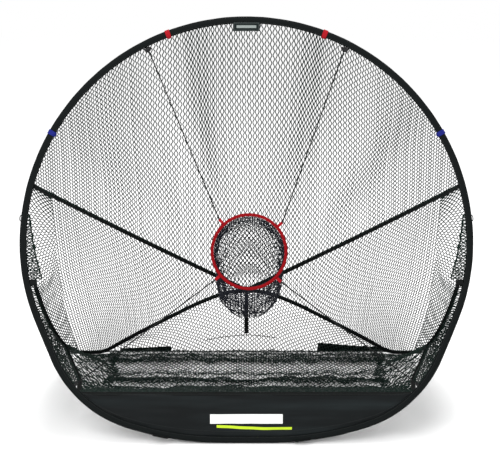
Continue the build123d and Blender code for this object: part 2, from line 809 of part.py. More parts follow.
with BuildPart() as pocket_net:
    net_bag(pocket_rings[: pocket_tube_count + 1], closed=False)
save(pocket_net, "pocket_net")

with BuildPart() as pocket_base:
    net_bag(pocket_rings[pocket_tube_count:], closed=True)
save(pocket_base, "pocket_base")


# ---- cord locks ----
def cord_lock(side, word):
    """A round body with a sprung button across it; the cord passes through both."""
    name = f"upper_{word}"
    middle = cord_ends[name]
    up = (middle - tab_tips[name]).normalized()
    along = (lock_point(side * (1 - 1 / lock_turn), lock_inset) - middle).normalized()
    across = Plane(origin=middle, x_dir=up, z_dir=along)

    def part_way(distance):
        return middle + along * distance

    with BuildPart() as body:
        straight_rod(part_way(-lock_back), part_way(lock_front), lock_r)
        straight_rod(
            part_way(lock_floor - lock_back),
            part_way(lock_front),
            button_r + button_play,
            mode=Mode.SUBTRACT,
        )
        hole = up * (lock_r + 1)
        straight_rod(middle - hole, middle + hole, lock_hole_r, mode=Mode.SUBTRACT)
    save(body, f"cord_lock_{word}")

    with BuildPart() as button:
        straight_rod(part_way(-button_tail), part_way(button_head), button_r)
        with BuildSketch(Plane(origin=part_way(button_travel / 2), x_dir=along, z_dir=up)) as slot:
            SlotOverall(2 * lock_hole_r + button_travel, 2 * lock_hole_r)
        extrude(to_extrude=slot.sketch, amount=lock_r, both=True, mode=Mode.SUBTRACT)
    save(button, f"lock_button_{word}")

    with BuildPart() as spring:
        length = lock_back - lock_floor - button_tail - 2 * spring_wire_r - 2 * cord_fit
        base = part_way(lock_floor - lock_back + spring_wire_r + cord_fit)
        with BuildLine() as turns:
            Helix(length / spring_turns, length, spring_r, center=base, direction=along)
        with BuildSketch(Plane(origin=turns.line @ 0, z_dir=turns.line % 0)):
            Circle(spring_wire_r)
        sweep(path=turns.line, is_frenet=True)
    save(spring, f"lock_spring_{word}")


cord_lock(-1, "left")
cord_lock(1, "right")
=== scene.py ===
import bpy
import json
import math
from mathutils import Vector, noise
from mathutils.bvhtree import BVHTree
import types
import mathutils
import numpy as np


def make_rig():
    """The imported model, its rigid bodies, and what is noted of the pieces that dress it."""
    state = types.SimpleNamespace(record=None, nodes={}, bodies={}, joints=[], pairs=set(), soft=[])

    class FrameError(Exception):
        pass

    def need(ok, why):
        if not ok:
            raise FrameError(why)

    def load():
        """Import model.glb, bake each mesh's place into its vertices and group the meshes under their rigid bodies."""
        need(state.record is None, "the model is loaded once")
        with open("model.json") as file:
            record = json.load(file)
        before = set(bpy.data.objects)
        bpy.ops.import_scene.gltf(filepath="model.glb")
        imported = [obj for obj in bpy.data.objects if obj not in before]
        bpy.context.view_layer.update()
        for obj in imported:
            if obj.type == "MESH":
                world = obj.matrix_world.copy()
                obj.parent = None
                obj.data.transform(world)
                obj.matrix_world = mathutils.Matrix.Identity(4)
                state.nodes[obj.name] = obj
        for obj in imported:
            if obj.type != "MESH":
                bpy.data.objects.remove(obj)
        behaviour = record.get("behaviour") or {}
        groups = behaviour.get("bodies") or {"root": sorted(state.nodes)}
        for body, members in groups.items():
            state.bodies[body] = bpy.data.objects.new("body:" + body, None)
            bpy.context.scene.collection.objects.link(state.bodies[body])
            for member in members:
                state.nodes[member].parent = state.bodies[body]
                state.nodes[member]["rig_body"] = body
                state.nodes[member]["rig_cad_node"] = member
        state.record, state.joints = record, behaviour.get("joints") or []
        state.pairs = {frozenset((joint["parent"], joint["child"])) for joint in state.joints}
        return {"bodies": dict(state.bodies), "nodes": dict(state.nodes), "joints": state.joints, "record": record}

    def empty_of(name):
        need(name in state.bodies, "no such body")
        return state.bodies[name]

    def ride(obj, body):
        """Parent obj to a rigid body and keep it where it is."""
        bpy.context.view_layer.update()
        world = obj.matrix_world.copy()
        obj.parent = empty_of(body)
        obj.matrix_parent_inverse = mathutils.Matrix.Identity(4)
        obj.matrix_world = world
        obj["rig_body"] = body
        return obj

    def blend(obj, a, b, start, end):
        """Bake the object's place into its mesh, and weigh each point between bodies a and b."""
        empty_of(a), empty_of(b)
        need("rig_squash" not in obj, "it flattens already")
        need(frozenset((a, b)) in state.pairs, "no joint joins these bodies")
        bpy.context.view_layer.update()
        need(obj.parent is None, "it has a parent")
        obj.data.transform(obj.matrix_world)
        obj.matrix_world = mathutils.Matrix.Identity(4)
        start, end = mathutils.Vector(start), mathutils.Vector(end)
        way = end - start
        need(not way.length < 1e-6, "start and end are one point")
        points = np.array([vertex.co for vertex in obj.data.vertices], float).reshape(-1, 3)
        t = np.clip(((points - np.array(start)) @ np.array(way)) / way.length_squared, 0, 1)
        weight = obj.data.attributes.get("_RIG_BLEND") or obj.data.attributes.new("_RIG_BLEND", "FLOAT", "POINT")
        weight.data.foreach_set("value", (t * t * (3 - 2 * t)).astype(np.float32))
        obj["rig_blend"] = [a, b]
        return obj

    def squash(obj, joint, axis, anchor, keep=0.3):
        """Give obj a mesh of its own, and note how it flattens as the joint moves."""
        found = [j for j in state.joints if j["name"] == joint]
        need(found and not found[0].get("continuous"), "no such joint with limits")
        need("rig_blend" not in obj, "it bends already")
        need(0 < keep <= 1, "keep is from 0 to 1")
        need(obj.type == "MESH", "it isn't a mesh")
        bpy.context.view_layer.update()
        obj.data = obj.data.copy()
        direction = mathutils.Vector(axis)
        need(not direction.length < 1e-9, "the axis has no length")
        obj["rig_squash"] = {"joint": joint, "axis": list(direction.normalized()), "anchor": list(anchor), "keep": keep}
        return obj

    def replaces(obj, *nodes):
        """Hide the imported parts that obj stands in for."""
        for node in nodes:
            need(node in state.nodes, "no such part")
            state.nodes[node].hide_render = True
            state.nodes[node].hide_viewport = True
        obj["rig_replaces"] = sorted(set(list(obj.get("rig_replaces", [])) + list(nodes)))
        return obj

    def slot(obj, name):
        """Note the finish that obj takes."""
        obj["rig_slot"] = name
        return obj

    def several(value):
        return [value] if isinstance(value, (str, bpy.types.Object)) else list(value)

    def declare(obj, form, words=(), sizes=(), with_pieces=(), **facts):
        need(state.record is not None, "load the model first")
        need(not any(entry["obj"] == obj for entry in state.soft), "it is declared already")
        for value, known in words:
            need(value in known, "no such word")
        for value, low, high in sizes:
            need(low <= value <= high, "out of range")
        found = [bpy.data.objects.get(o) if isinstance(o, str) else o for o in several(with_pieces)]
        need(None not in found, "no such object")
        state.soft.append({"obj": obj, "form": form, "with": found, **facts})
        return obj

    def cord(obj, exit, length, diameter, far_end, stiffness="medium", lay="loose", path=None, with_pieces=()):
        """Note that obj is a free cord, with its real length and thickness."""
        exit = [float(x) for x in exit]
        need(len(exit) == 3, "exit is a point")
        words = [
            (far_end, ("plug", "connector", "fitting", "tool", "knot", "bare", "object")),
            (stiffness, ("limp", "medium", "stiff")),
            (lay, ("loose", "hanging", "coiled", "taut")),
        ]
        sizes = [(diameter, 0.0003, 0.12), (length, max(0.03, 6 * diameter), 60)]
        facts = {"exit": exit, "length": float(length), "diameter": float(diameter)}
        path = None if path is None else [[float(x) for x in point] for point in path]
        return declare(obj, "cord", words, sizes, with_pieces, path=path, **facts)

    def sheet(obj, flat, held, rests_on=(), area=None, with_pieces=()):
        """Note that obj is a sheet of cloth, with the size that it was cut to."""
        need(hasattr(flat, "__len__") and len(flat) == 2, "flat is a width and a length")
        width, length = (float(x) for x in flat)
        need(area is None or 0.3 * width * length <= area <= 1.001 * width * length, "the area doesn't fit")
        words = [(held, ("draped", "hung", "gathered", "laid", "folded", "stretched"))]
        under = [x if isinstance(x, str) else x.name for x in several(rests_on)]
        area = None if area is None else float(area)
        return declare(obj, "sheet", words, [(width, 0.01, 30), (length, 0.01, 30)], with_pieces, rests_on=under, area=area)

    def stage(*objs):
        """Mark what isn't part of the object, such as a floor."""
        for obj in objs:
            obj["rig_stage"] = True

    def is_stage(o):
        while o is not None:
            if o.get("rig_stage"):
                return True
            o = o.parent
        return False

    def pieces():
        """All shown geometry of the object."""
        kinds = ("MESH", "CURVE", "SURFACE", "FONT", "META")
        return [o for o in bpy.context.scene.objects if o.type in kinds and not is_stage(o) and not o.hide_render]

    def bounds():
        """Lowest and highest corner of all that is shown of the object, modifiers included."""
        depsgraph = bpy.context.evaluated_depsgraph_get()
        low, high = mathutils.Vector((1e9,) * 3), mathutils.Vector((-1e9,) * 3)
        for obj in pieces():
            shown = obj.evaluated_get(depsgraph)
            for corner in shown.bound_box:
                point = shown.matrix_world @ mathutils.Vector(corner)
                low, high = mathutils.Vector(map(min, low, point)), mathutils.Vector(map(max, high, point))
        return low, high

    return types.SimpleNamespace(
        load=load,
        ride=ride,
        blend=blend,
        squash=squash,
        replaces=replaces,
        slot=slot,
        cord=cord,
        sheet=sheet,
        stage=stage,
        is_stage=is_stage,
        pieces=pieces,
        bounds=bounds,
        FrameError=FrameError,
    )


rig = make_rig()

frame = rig.load()
cadLow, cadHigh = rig.bounds()
print("frame loaded")

# the whole net: sizes in metres, turns in degrees
hoop = dict(
    width=1.524, lean=14.0, sleeveR=0.012, footRun=0.16, cornerR=0.4, cornerTurn=50.0,
    sideRun=0.13, sideR=0.68, sideTurn=22.5, netTurn=50.0, netDepth=0.011,
)
frontY = -0.4334


def turned(degrees):
    return math.cos(math.radians(degrees)), math.sin(math.radians(degrees))


leanCos, leanSin = turned(hoop["lean"])
topR = hoop["width"] / 2 - hoop["sleeveR"]
baseTurn = 90 - hoop["sideTurn"] - hoop["cornerTurn"]
headTurn = baseTurn + hoop["cornerTurn"]


def onHoop(u, s, back=0.0):
    # across and up the hoop's own plane, and square to it
    return Vector((u, frontY + s * leanSin + back * leanCos, s * leanCos - back * leanSin))


def behind(x, back, z):
    return Vector((x, frontY + back, z))


planeBack = onHoop(0, 0, 1) - onHoop(0, 0)
planeUp = onHoop(0, 1) - onHoop(0, 0)


def between(a, b, share):
    return a + (b - a) * share


def mirrored(p):
    return Vector((-p.x, p.y, p.z))


# ---- the hoop's centre line in its own plane, right half, from the foot to the top ----
def flatArc():
    # radius of the arc beside the foot: it takes what the other arcs leave of the half width
    cosHead, sinHead = turned(headTurn)
    sinBase = turned(baseTurn)[1]
    across = topR - hoop["footRun"] / 2 - hoop["cornerR"] * (sinHead - sinBase)
    return (across - hoop["sideRun"] * cosHead - hoop["sideR"] * (1 - sinHead)) / sinBase


baseR = flatArc()
footS = hoop["sleeveR"] / leanCos


def hoopHalf():
    pts = [(0.0, footS), (hoop["footRun"] / 2, footS)]

    def arc(radius, start, turn, steps):
        x, y = pts[-1]
        c0, s0 = turned(start - 90)
        cx, cy = x - c0 * radius, y - s0 * radius
        for i in range(1, steps + 1):
            c, s = turned(start - 90 + turn * i / steps)
            pts.append((cx + c * radius, cy + s * radius))

    arc(baseR, 0, baseTurn, 30)
    arc(hoop["cornerR"], baseTurn, hoop["cornerTurn"], 40)
    x, y = pts[-1]
    c, s = turned(headTurn)
    pts.append((x + c * hoop["sideRun"], y + s * hoop["sideRun"]))
    arc(hoop["sideR"], headTurn, hoop["sideTurn"], 30)
    waist = pts[-1][1]
    arc(topR, 90, 90, 110)
    return pts, waist


halfLine, waistS = hoopHalf()
topS = waistS + topR


def resample(points, step, closed=False):
    pts = [Vector(p) for p in points]
    if closed:
        pts.append(pts[0].copy())
    lengths = [0.0]
    for a, b in zip(pts, pts[1:]):
        lengths.append(lengths[-1] + (b - a).length)
    count = max(2, round(lengths[-1] / step))
    out, k = [], 0
    for i in range(count if closed else count + 1):
        d = lengths[-1] * i / count
        while k < len(lengths) - 2 and lengths[k + 1] < d:
            k += 1
        span = lengths[k + 1] - lengths[k]
        out.append(between(pts[k], pts[k + 1], (d - lengths[k]) / span if span else 0))
    return out


def pathAt(points):
    # a function of the length along the path
    lengths = [0.0]
    for a, b in zip(points, points[1:]):
        lengths.append(lengths[-1] + (b - a).length)

    def at(d):
        d = min(max(d, 0.0), lengths[-1])
        low, high = 0, len(lengths) - 1
        while high - low > 1:
            mid = (low + high) // 2
            if lengths[mid] <= d:
                low = mid
            else:
                high = mid
        span = lengths[high] - lengths[low]
        return between(points[low], points[high], (d - lengths[low]) / span if span else 0)

    at.total = lengths[-1]
    return at


rightHoop = [onHoop(u, s) for u, s in halfLine]
wholeHoop = rightHoop + [mirrored(p) for p in reversed(rightHoop[1:-1])]


def upperHoop(turn, inset=0.0, back=0.0):
    r = topR - inset
    c, s = turned(turn)
    return onHoop(r * s, waistS + r * c, back)


# ---- the bow's centre line ----
bow = dict(
    sleeveR=0.0075, pivotS=0.54, pivotInset=0.025, hubRun=0.06, hubBack=0.712, hubZ=0.312,
    side=[(0.709, 0.25, 0.398), (0.703, 0.43, 0.25), (0.694, 0.61, 0.128), (0.676, 0.76, 0.046)],
    foot=[(0.642, 0.854), (0.568, 0.864)],
    arch=[(0.47, 0.805, 0.084), (0.325, 0.742, 0.181), (0.18, 0.718, 0.264)],
)
sideInset = math.sqrt(hoop["sideR"] ** 2 - (waistS - bow["pivotS"]) ** 2)
pivot = onHoop(topR - hoop["sideR"] + sideInset - bow["pivotInset"], bow["pivotS"])
hub = behind(0, bow["hubBack"], bow["hubZ"])


def bowHalf():
    corners = [pivot] + [behind(*p) for p in bow["side"]]
    corners += [behind(x, b, bow["sleeveR"]) for x, b in bow["foot"]]
    corners += [behind(*p) for p in bow["arch"]]
    corners += [behind(bow["hubRun"], bow["hubBack"], bow["hubZ"])]
    corners += [mirrored(corners[-1])]
    out = [corners[0]]
    for a, p, b in zip(corners, corners[1:], corners[2:]):
        cut = 0.48 * min((p - a).length, (b - p).length)
        start, end = p + (a - p).normalized() * cut, p + (b - p).normalized() * cut
        for i in range(13):
            t = i / 12
            out.append(between(between(start, p, t), between(p, end, t), t))
    out = [p for p in out if p.x > 0]
    out.append(Vector((0, hub.y, hub.z)))
    return out


bowRight = bowHalf()
bowAt = pathAt(bowRight)
bowLength = bowAt.total


# ---- camera ----
camera = bpy.data.objects.new("camera", bpy.data.cameras.new("camera"))
bpy.context.collection.objects.link(camera)
view = dict(back=-4.0, z=1.8, pitch=14.826, lens=92.62, shiftX=0.0072)
camera.location = behind(0, view["back"], view["z"])
camera.rotation_euler = (math.radians(90 - view["pitch"]), 0, 0)
camera.data.sensor_width = 36
camera.data.sensor_fit = "HORIZONTAL"
camera.data.lens = view["lens"]
camera.data.shift_x = view["shiftX"]
camera.data.clip_end = 100
bpy.context.scene.camera = camera
bpy.context.scene.view_settings.view_transform = "Standard"


# ---- shader helper ----
class Value:
    def __init__(self, shader, socket):
        self.shader, self.socket = shader, socket

    def maths(self, operation, *others):
        sockets = dict(enumerate([self, *others]))
        return self.shader.node("ShaderNodeMath", dict(operation=operation), sockets)

    def __add__(self, other):
        return self.maths("ADD", other)

    def __sub__(self, other):
        return self.maths("SUBTRACT", other)

    def __mul__(self, other):
        return self.maths("MULTIPLY", other)

    def within(self, low, high):
        return self.maths("GREATER_THAN", low) * self.maths("LESS_THAN", high)


class Shader:
    def __init__(self, name, **constants):
        self.material = bpy.data.materials.new(name)
        self.material.use_nodes = True
        self.tree = self.material.node_tree
        self.surface = self.tree.nodes["Principled BSDF"]
        for socket, value in constants.items():
            self.surface.inputs[socket].default_value = value

    def node(self, kind, settings=None, sockets=None, output=0):
        made = self.tree.nodes.new(kind)
        for key, value in (settings or {}).items():
            setattr(made, key, value)
        for key, value in (sockets or {}).items():
            target = made.inputs[key]
            if isinstance(value, Value):
                self.tree.links.new(value.socket, target)
            else:
                target.default_value = value
        return Value(self, made.outputs[output])

    def coords(self, which="Object"):
        return self.node("ShaderNodeTexCoord", output=dict(Object=3, UV=2)[which])

    def axes(self, vector):
        split = self.node("ShaderNodeSeparateXYZ", sockets={0: vector})
        return [Value(self, split.socket.node.outputs[i]) for i in range(3)]

    def scaled(self, vector, scale):
        return self.node("ShaderNodeMapping", sockets={"Vector": vector, "Scale": scale})

    def noise(self, vector, scale, detail=3.0, roughness=0.5):
        return self.node("ShaderNodeTexNoise", sockets={
            "Vector": vector, "Scale": scale, "Detail": detail, "Roughness": roughness})

    def mix(self, factor, a, b):
        return self.node("ShaderNodeMix", dict(data_type="RGBA"), {
            0: factor, 6: a, 7: b}, output=2)

    def ramp(self, factor, low, high, start=0.0, end=1.0):
        return self.node("ShaderNodeMapRange", sockets={
            0: factor, 1: start, 2: end, 3: low, 4: high})

    def bump(self, height, strength, distance):
        normal = self.node("ShaderNodeBump", sockets={
            "Height": height, "Strength": strength, "Distance": distance})
        self.link(normal, "Normal")

    def link(self, value, socket):
        self.tree.links.new(value.socket, self.surface.inputs[socket])


def rgb(r, g, b):
    return (r, g, b, 1.0)


def wovenCloth(name, dark, light, threads, rough=0.75):
    # plain weave: warp and weft waves at the thread's pitch, on the piece's own metric UV
    shader = Shader(name, **{"Specular IOR Level": 0.05})
    place = shader.coords("UV")
    x, y = shader.axes(place)[:2]
    warp = (x * (threads * math.tau)).maths("SINE")
    weft = (y * (threads * math.tau)).maths("SINE")
    weave = (warp * weft) * 0.5 + 0.5
    slub = shader.noise(shader.scaled(place, (40, 220, 40)), 3.0, 4.0)
    tone = weave * 0.45 + slub * 0.55
    shader.link(shader.mix(tone, rgb(*dark), rgb(*light)), "Base Color")
    shader.link(shader.ramp(slub, rough - 0.1, rough + 0.1), "Roughness")
    shader.bump(weave * 0.6 + slub * 0.8, 0.35, 0.0004)
    return shader.material


def webbing(name, dark, light, ribs=420.0):
    # ribs across a narrow band: U runs along the band, V across it
    shader = Shader(name, **{"Specular IOR Level": 0.05})
    place = shader.coords("UV")
    x, y = shader.axes(place)[:2]
    rib = (x * (ribs * math.tau)).maths("SINE") * 0.5 + 0.5
    cross = (y * (ribs * 0.7 * math.tau)).maths("SINE") * 0.5 + 0.5
    fuzz = shader.noise(shader.scaled(place, (300, 300, 300)), 2.0, 3.0)
    tone = rib * 0.4 + cross * 0.25 + fuzz * 0.35
    shader.link(shader.mix(tone, rgb(*dark), rgb(*light)), "Base Color")
    shader.link(shader.ramp(fuzz, 0.6, 0.82), "Roughness")
    shader.bump(rib * 0.7 + cross * 0.4, 0.5, 0.0005)
    return shader.material


def stringFinish(name, dark, light, twist=350.0):
    # twisted yarn: slanting strands on object coordinates
    shader = Shader(name, **{"Specular IOR Level": 0.15})
    place = shader.coords()
    x, y, z = shader.axes(place)
    ply = ((x + y * 0.6 + z * 1.4) * (twist * math.tau)).maths("SINE") * 0.5 + 0.5
    patch = shader.noise(place, 9.0, 3.0)
    tone = ply * 0.35 + patch * 0.65
    shader.link(shader.mix(tone, rgb(*dark), rgb(*light)), "Base Color")
    shader.link(shader.ramp(patch, 0.42, 0.62), "Roughness")
    shader.bump(ply, 0.4, 0.0003)
    return shader.material


def mouldedPlastic(name, dark, light, rough=0.42):
    shader = Shader(name, **{"Specular IOR Level": 0.2})
    place = shader.coords()
    grain = shader.noise(place, 900.0, 2.0)
    flow = shader.noise(place, 30.0, 2.0)
    shader.link(shader.mix(flow, rgb(*dark), rgb(*light)), "Base Color")
    shader.link(shader.ramp(grain, rough - 0.08, rough + 0.1), "Roughness")
    shader.bump(grain, 0.25, 0.0002)
    return shader.material


def bareMetal(name, tone):
    shader = Shader(name, Metallic=1.0)
    place = shader.coords()
    drawn = shader.noise(shader.scaled(place, (2200, 60, 60)), 1.0, 3.0)
    low, high = [c * 0.85 for c in tone], list(tone)
    shader.link(shader.mix(drawn, rgb(*low), rgb(*high)), "Base Color")
    shader.link(shader.ramp(drawn, 0.22, 0.4), "Roughness")
    shader.bump(drawn, 0.15, 0.0001)
    return shader.material


finishes = dict(
    sleeve=wovenCloth("sleeveCloth", (0.003, 0.0038, 0.004), (0.0095, 0.0115, 0.0115), 700.0),
    bowSleeve=wovenCloth("bowSleeveCloth", (0.003, 0.0038, 0.004), (0.008, 0.0095, 0.0095), 900.0),
    redCloth=wovenCloth("redCloth", (0.16, 0.002, 0.004), (0.29, 0.005, 0.009), 800.0, 0.7),
    webbing=webbing("blackWebbing", (0.003, 0.0035, 0.0035), (0.011, 0.012, 0.012)),
    redWebbing=webbing("redWebbing", (0.2, 0.004, 0.008), (0.44, 0.012, 0.02)),
    blueWebbing=webbing("blueWebbing", (0.007, 0.009, 0.09), (0.02, 0.028, 0.24)),
    netString=stringFinish("netString", (0.003, 0.009, 0.007), (0.009, 0.026, 0.020)),
    pocketString=stringFinish("pocketString", (0.005, 0.006, 0.01), (0.02, 0.022, 0.032)),
    cord=stringFinish("elasticCord", (0.003, 0.004, 0.004), (0.011, 0.012, 0.012), 500.0),
    plastic=mouldedPlastic("blackPlastic", (0.005, 0.005, 0.006), (0.014, 0.014, 0.015)),
    glassFibre=mouldedPlastic("glassFibre", (0.03, 0.03, 0.028), (0.06, 0.06, 0.055), 0.3),
    steel=bareMetal("brightSteel", (0.62, 0.62, 0.63)),
    thread=stringFinish("thread", (0.015, 0.017, 0.017), (0.04, 0.044, 0.044), 900.0),
    redThread=stringFinish("redThread", (0.2, 0.004, 0.006), (0.36, 0.01, 0.015), 900.0),
)
print("materials made")


# ---- meshes ----
def newPiece(name, vertices, faces, material, uvs=None, smooth=True):
    mesh = bpy.data.meshes.new(name)
    mesh.from_pydata([tuple(v) for v in vertices], [], faces)
    if uvs is not None:
        layer = mesh.uv_layers.new(name="metric")
        for loop in mesh.loops:
            layer.data[loop.index].uv = uvs[loop.vertex_index]
    mesh.materials.append(material)
    for polygon in mesh.polygons:
        polygon.use_smooth = smooth
    mesh.validate()
    made = bpy.data.objects.new(name, mesh)
    bpy.context.collection.objects.link(made)
    return made


def frames(points, closed):
    # a tangent and two square directions at each point, carried along without twist
    count = len(points)
    tangents = []
    for i in range(count):
        if closed:
            a, b = points[i - 1], points[(i + 1) % count]
        else:
            a, b = points[max(i - 1, 0)], points[min(i + 1, count - 1)]
        tangents.append((b - a).normalized())
    side = tangents[0].orthogonal().normalized()
    out = []
    for tangent in tangents:
        side = (side - tangent * side.dot(tangent)).normalized()
        out.append((tangent, side, tangent.cross(side)))
    if closed:
        # spread the leftover twist round the loop
        first = out[0][1]
        last = out[-1][1] - out[0][0] * out[-1][1].dot(out[0][0])
        gap = math.atan2(last.cross(first).dot(out[0][0]), last.dot(first))
        for i, (tangent, s, n) in enumerate(out):
            c, d = math.cos(gap * i / count), math.sin(gap * i / count)
            out[i] = (tangent, s * c + n * d, n * c - s * d)
    return out


def tube(name, points, radius, material, sides, closed=False, fixedSide=None):
    # radius is a number or a function of (length along, turn)
    count = len(points)
    vertices, uvs, faces = [], [], []
    length = 0.0
    for i, (tangent, side, normal) in enumerate(frames(points, closed)):
        if fixedSide is not None:
            side = (fixedSide - tangent * fixedSide.dot(tangent)).normalized()
            normal = tangent.cross(side)
        if i:
            length += (points[i] - points[i - 1]).length
        for k in range(sides):
            a = math.tau * k / sides
            r = radius(length, a) if callable(radius) else radius
            vertices.append(points[i] + (side * math.cos(a) + normal * math.sin(a)) * r)
            uvs.append((length, a * 0.01))
    rings = count if closed else count - 1
    for i in range(rings):
        for k in range(sides):
            a, b = i * sides + k, i * sides + (k + 1) % sides
            c, d = ((i + 1) % count) * sides + (k + 1) % sides, ((i + 1) % count) * sides + k
            faces.append((a, b, c, d))
    if not closed:
        for ring, flip in ((0, True), (count - 1, False)):
            around = [ring * sides + k for k in range(sides)]
            faces.append(tuple(reversed(around)) if flip else tuple(around))
    return newPiece(name, vertices, faces, material, uvs)


def clothGrid(name, rows, material, thickness):
    # rows of points across a sheet; it gets its thickness to both sides of them
    height, width = len(rows), len(rows[0])
    flat = [p for row in rows for p in row]
    uvs, v = [], 0.0
    for j, row in enumerate(rows):
        if j:
            v += (rows[j][width // 2] - rows[j - 1][width // 2]).length
        u = 0.0
        for i in range(width):
            if i:
                u += (row[i] - row[i - 1]).length
            uvs.append((u, v))
    faces = []
    for j in range(height - 1):
        for i in range(width - 1):
            a = j * width + i
            faces.append((a, a + 1, a + width + 1, a + width))
    made = newPiece(name, flat, faces, material, uvs)
    solid = made.modifiers.new("thickness", "SOLIDIFY")
    solid.thickness, solid.offset = thickness, 0.0
    return applied(made)


def applied(piece):
    # the evaluated mesh, with its modifiers removed
    depsgraph = bpy.context.evaluated_depsgraph_get()
    mesh = bpy.data.meshes.new_from_object(piece.evaluated_get(depsgraph))
    old = piece.data
    piece.modifiers.clear()
    piece.data = mesh
    bpy.data.meshes.remove(old)
    return piece


def joined(name, parts):
    # one mesh from several, in the first one's object
    vertices, faces, uvs, materials, materialOf = [], [], [], [], []
    for part in parts:
        base = len(vertices)
        vertices += [v.co.copy() for v in part.data.vertices]
        layer = part.data.uv_layers.active
        uvOf = {}
        if layer:
            for loop in part.data.loops:
                uvOf[loop.vertex_index] = tuple(layer.data[loop.index].uv)
        uvs += [uvOf.get(i, (0.0, 0.0)) for i in range(len(part.data.vertices))]
        material = part.data.materials[0]
        if material not in materials:
            materials.append(material)
        for polygon in part.data.polygons:
            faces.append(tuple(base + i for i in polygon.vertices))
            materialOf.append(materials.index(material))
    made = newPiece(name, vertices, faces, materials[0], uvs)
    for extra in materials[1:]:
        made.data.materials.append(extra)
    for polygon, index in zip(made.data.polygons, materialOf):
        polygon.material_index = index
    for part in parts:
        bpy.data.objects.remove(part)
    return made


# ---- geometry nodes: loose edges in, solid pieces with a finish out ----
class LineTree:
    def __init__(self, name, inputs):
        self.tree = bpy.data.node_groups.new(name, "GeometryNodeTree")
        face = self.tree.interface
        face.new_socket("Geometry", in_out="INPUT", socket_type="NodeSocketGeometry")
        for label, kind, value in inputs:
            face.new_socket(label, in_out="INPUT", socket_type=kind).default_value = value
        face.new_socket("Finish", in_out="INPUT", socket_type="NodeSocketMaterial")
        face.new_socket("Geometry", in_out="OUTPUT", socket_type="NodeSocketGeometry")
        self.entry = self.node("NodeGroupInput")
        self.lines = self.node("GeometryNodeMeshToCurve")
        self.wire(self.entry, "Geometry", self.lines, "Mesh")

    def node(self, kind):
        return self.tree.nodes.new(kind)

    def wire(self, source, output, target, socket):
        self.tree.links.new(source.outputs[output], target.inputs[socket])

    def finished(self, last, output):
        realize, finish = self.node("GeometryNodeRealizeInstances"), self.node("GeometryNodeSetMaterial")
        leave = self.node("NodeGroupOutput")
        self.wire(last, output, realize, "Geometry")
        self.wire(realize, "Geometry", finish, "Geometry")
        self.wire(self.entry, "Finish", finish, "Material")
        self.wire(finish, "Geometry", leave, "Geometry")
        return self.tree


def stringTree():
    # a round string along every line
    sizes = (("String radius", "NodeSocketFloat", 0.001), ("Sides", "NodeSocketInt", 3))
    made = LineTree("netStrings", sizes)
    ring, string = made.node("GeometryNodeCurvePrimitiveCircle"), made.node("GeometryNodeCurveToMesh")
    string.inputs["Fill Caps"].default_value = True
    made.wire(made.entry, "String radius", ring, "Radius")
    made.wire(made.entry, "Sides", ring, "Resolution")
    made.wire(made.lines, "Curve", string, "Curve")
    made.wire(ring, "Curve", string, "Profile Curve")
    return made.finished(string, "Mesh")


def stitchTree():
    # a row of stitches along every line
    sizes = (("Spacing", 0.004), ("Thread radius", 0.0004), ("Stitch length", 0.003))
    made = LineTree("stitches", [(label, "NodeSocketFloat", value) for label, value in sizes])
    spaced, thread = made.node("GeometryNodeResampleCurve"), made.node("GeometryNodeMeshCylinder")
    spaced.mode = "LENGTH"
    thread.inputs["Vertices"].default_value = 6
    ahead, align = made.node("GeometryNodeInputTangent"), made.node("FunctionNodeAlignRotationToVector")
    align.axis = "Z"
    place = made.node("GeometryNodeInstanceOnPoints")
    made.wire(made.lines, "Curve", spaced, "Curve")
    made.wire(made.entry, "Spacing", spaced, "Length")
    made.wire(made.entry, "Thread radius", thread, "Radius")
    made.wire(made.entry, "Stitch length", thread, "Depth")
    made.wire(ahead, "Tangent", align, "Vector")
    made.wire(spaced, "Curve", place, "Points")
    made.wire(thread, "Mesh", place, "Instance")
    made.wire(align, "Rotation", place, "Rotation")
    return made.finished(place, "Instances")


netTree, threadTree = stringTree(), stitchTree()


def alongLines(name, lines, tree, values):
    # the lines as loose edges, which a geometry tree turns into solid pieces
    vertices, edges = [], []
    for line in lines:
        if len(line) < 2:
            continue
        base = len(vertices)
        vertices += [tuple(p) for p in line]
        edges += [(base + i, base + i + 1) for i in range(len(line) - 1)]
    mesh = bpy.data.meshes.new(name)
    mesh.from_pydata(vertices, edges, [])
    made = bpy.data.objects.new(name, mesh)
    bpy.context.collection.objects.link(made)
    modifier = made.modifiers.new("alongLines", "NODES")
    modifier.node_group = tree
    for item in tree.interface.items_tree:
        if item.in_out == "INPUT" and item.name in values:
            modifier[item.identifier] = values[item.name]
    return applied(made)


def stringPiece(name, lines, radius, material):
    return alongLines(name, lines, netTree, {"String radius": radius, "Sides": 3, "Finish": material})


def stitchPiece(name, lines, material, spacing=0.004, radius=0.0004, length=0.003):
    values = {"Spacing": spacing, "Thread radius": radius, "Stitch length": length, "Finish": material}
    return alongLines(name, lines, threadTree, values)


# ---- netting: sizes of its cells, each as a column step and a row step ----
net = dict(
    string=0.00205, joint=0.18, ripple=0.006, sag=0.018, folds=21, uneven=0.006,
    foldColumn=0.0088, foldRow=0.0098, lowColumn=0.0082, lowRow=0.0105, slopeColumn=0.0075,
    slopeRow=0.0095, floorColumn=0.0098, floorRow=0.0175, wingColumn=0.0086, wingRow=0.011,
    rearColumn=0.0088, rearRow=0.0115, sideTurn=83.5,
    strip=dict(top=0.77, width=0.036, back=0.03, column=0.0064, row=0.0075, loose=0.004, strands=4),
)


# back net: vertical columns in the hoop's plane, thrown back onto the cone from the rim to the hub
rimInset, rimBack = (hoop["netDepth"] * v for v in turned(hoop["netTurn"]))
rimR = topR - rimInset


def limited(x):
    return min(max(x, 0.0), 1.0)


def toHoop(p):
    y, z = p.y - frontY, p.z
    return Vector((p.x, y * leanSin + z * leanCos, y * leanCos - z * leanSin))


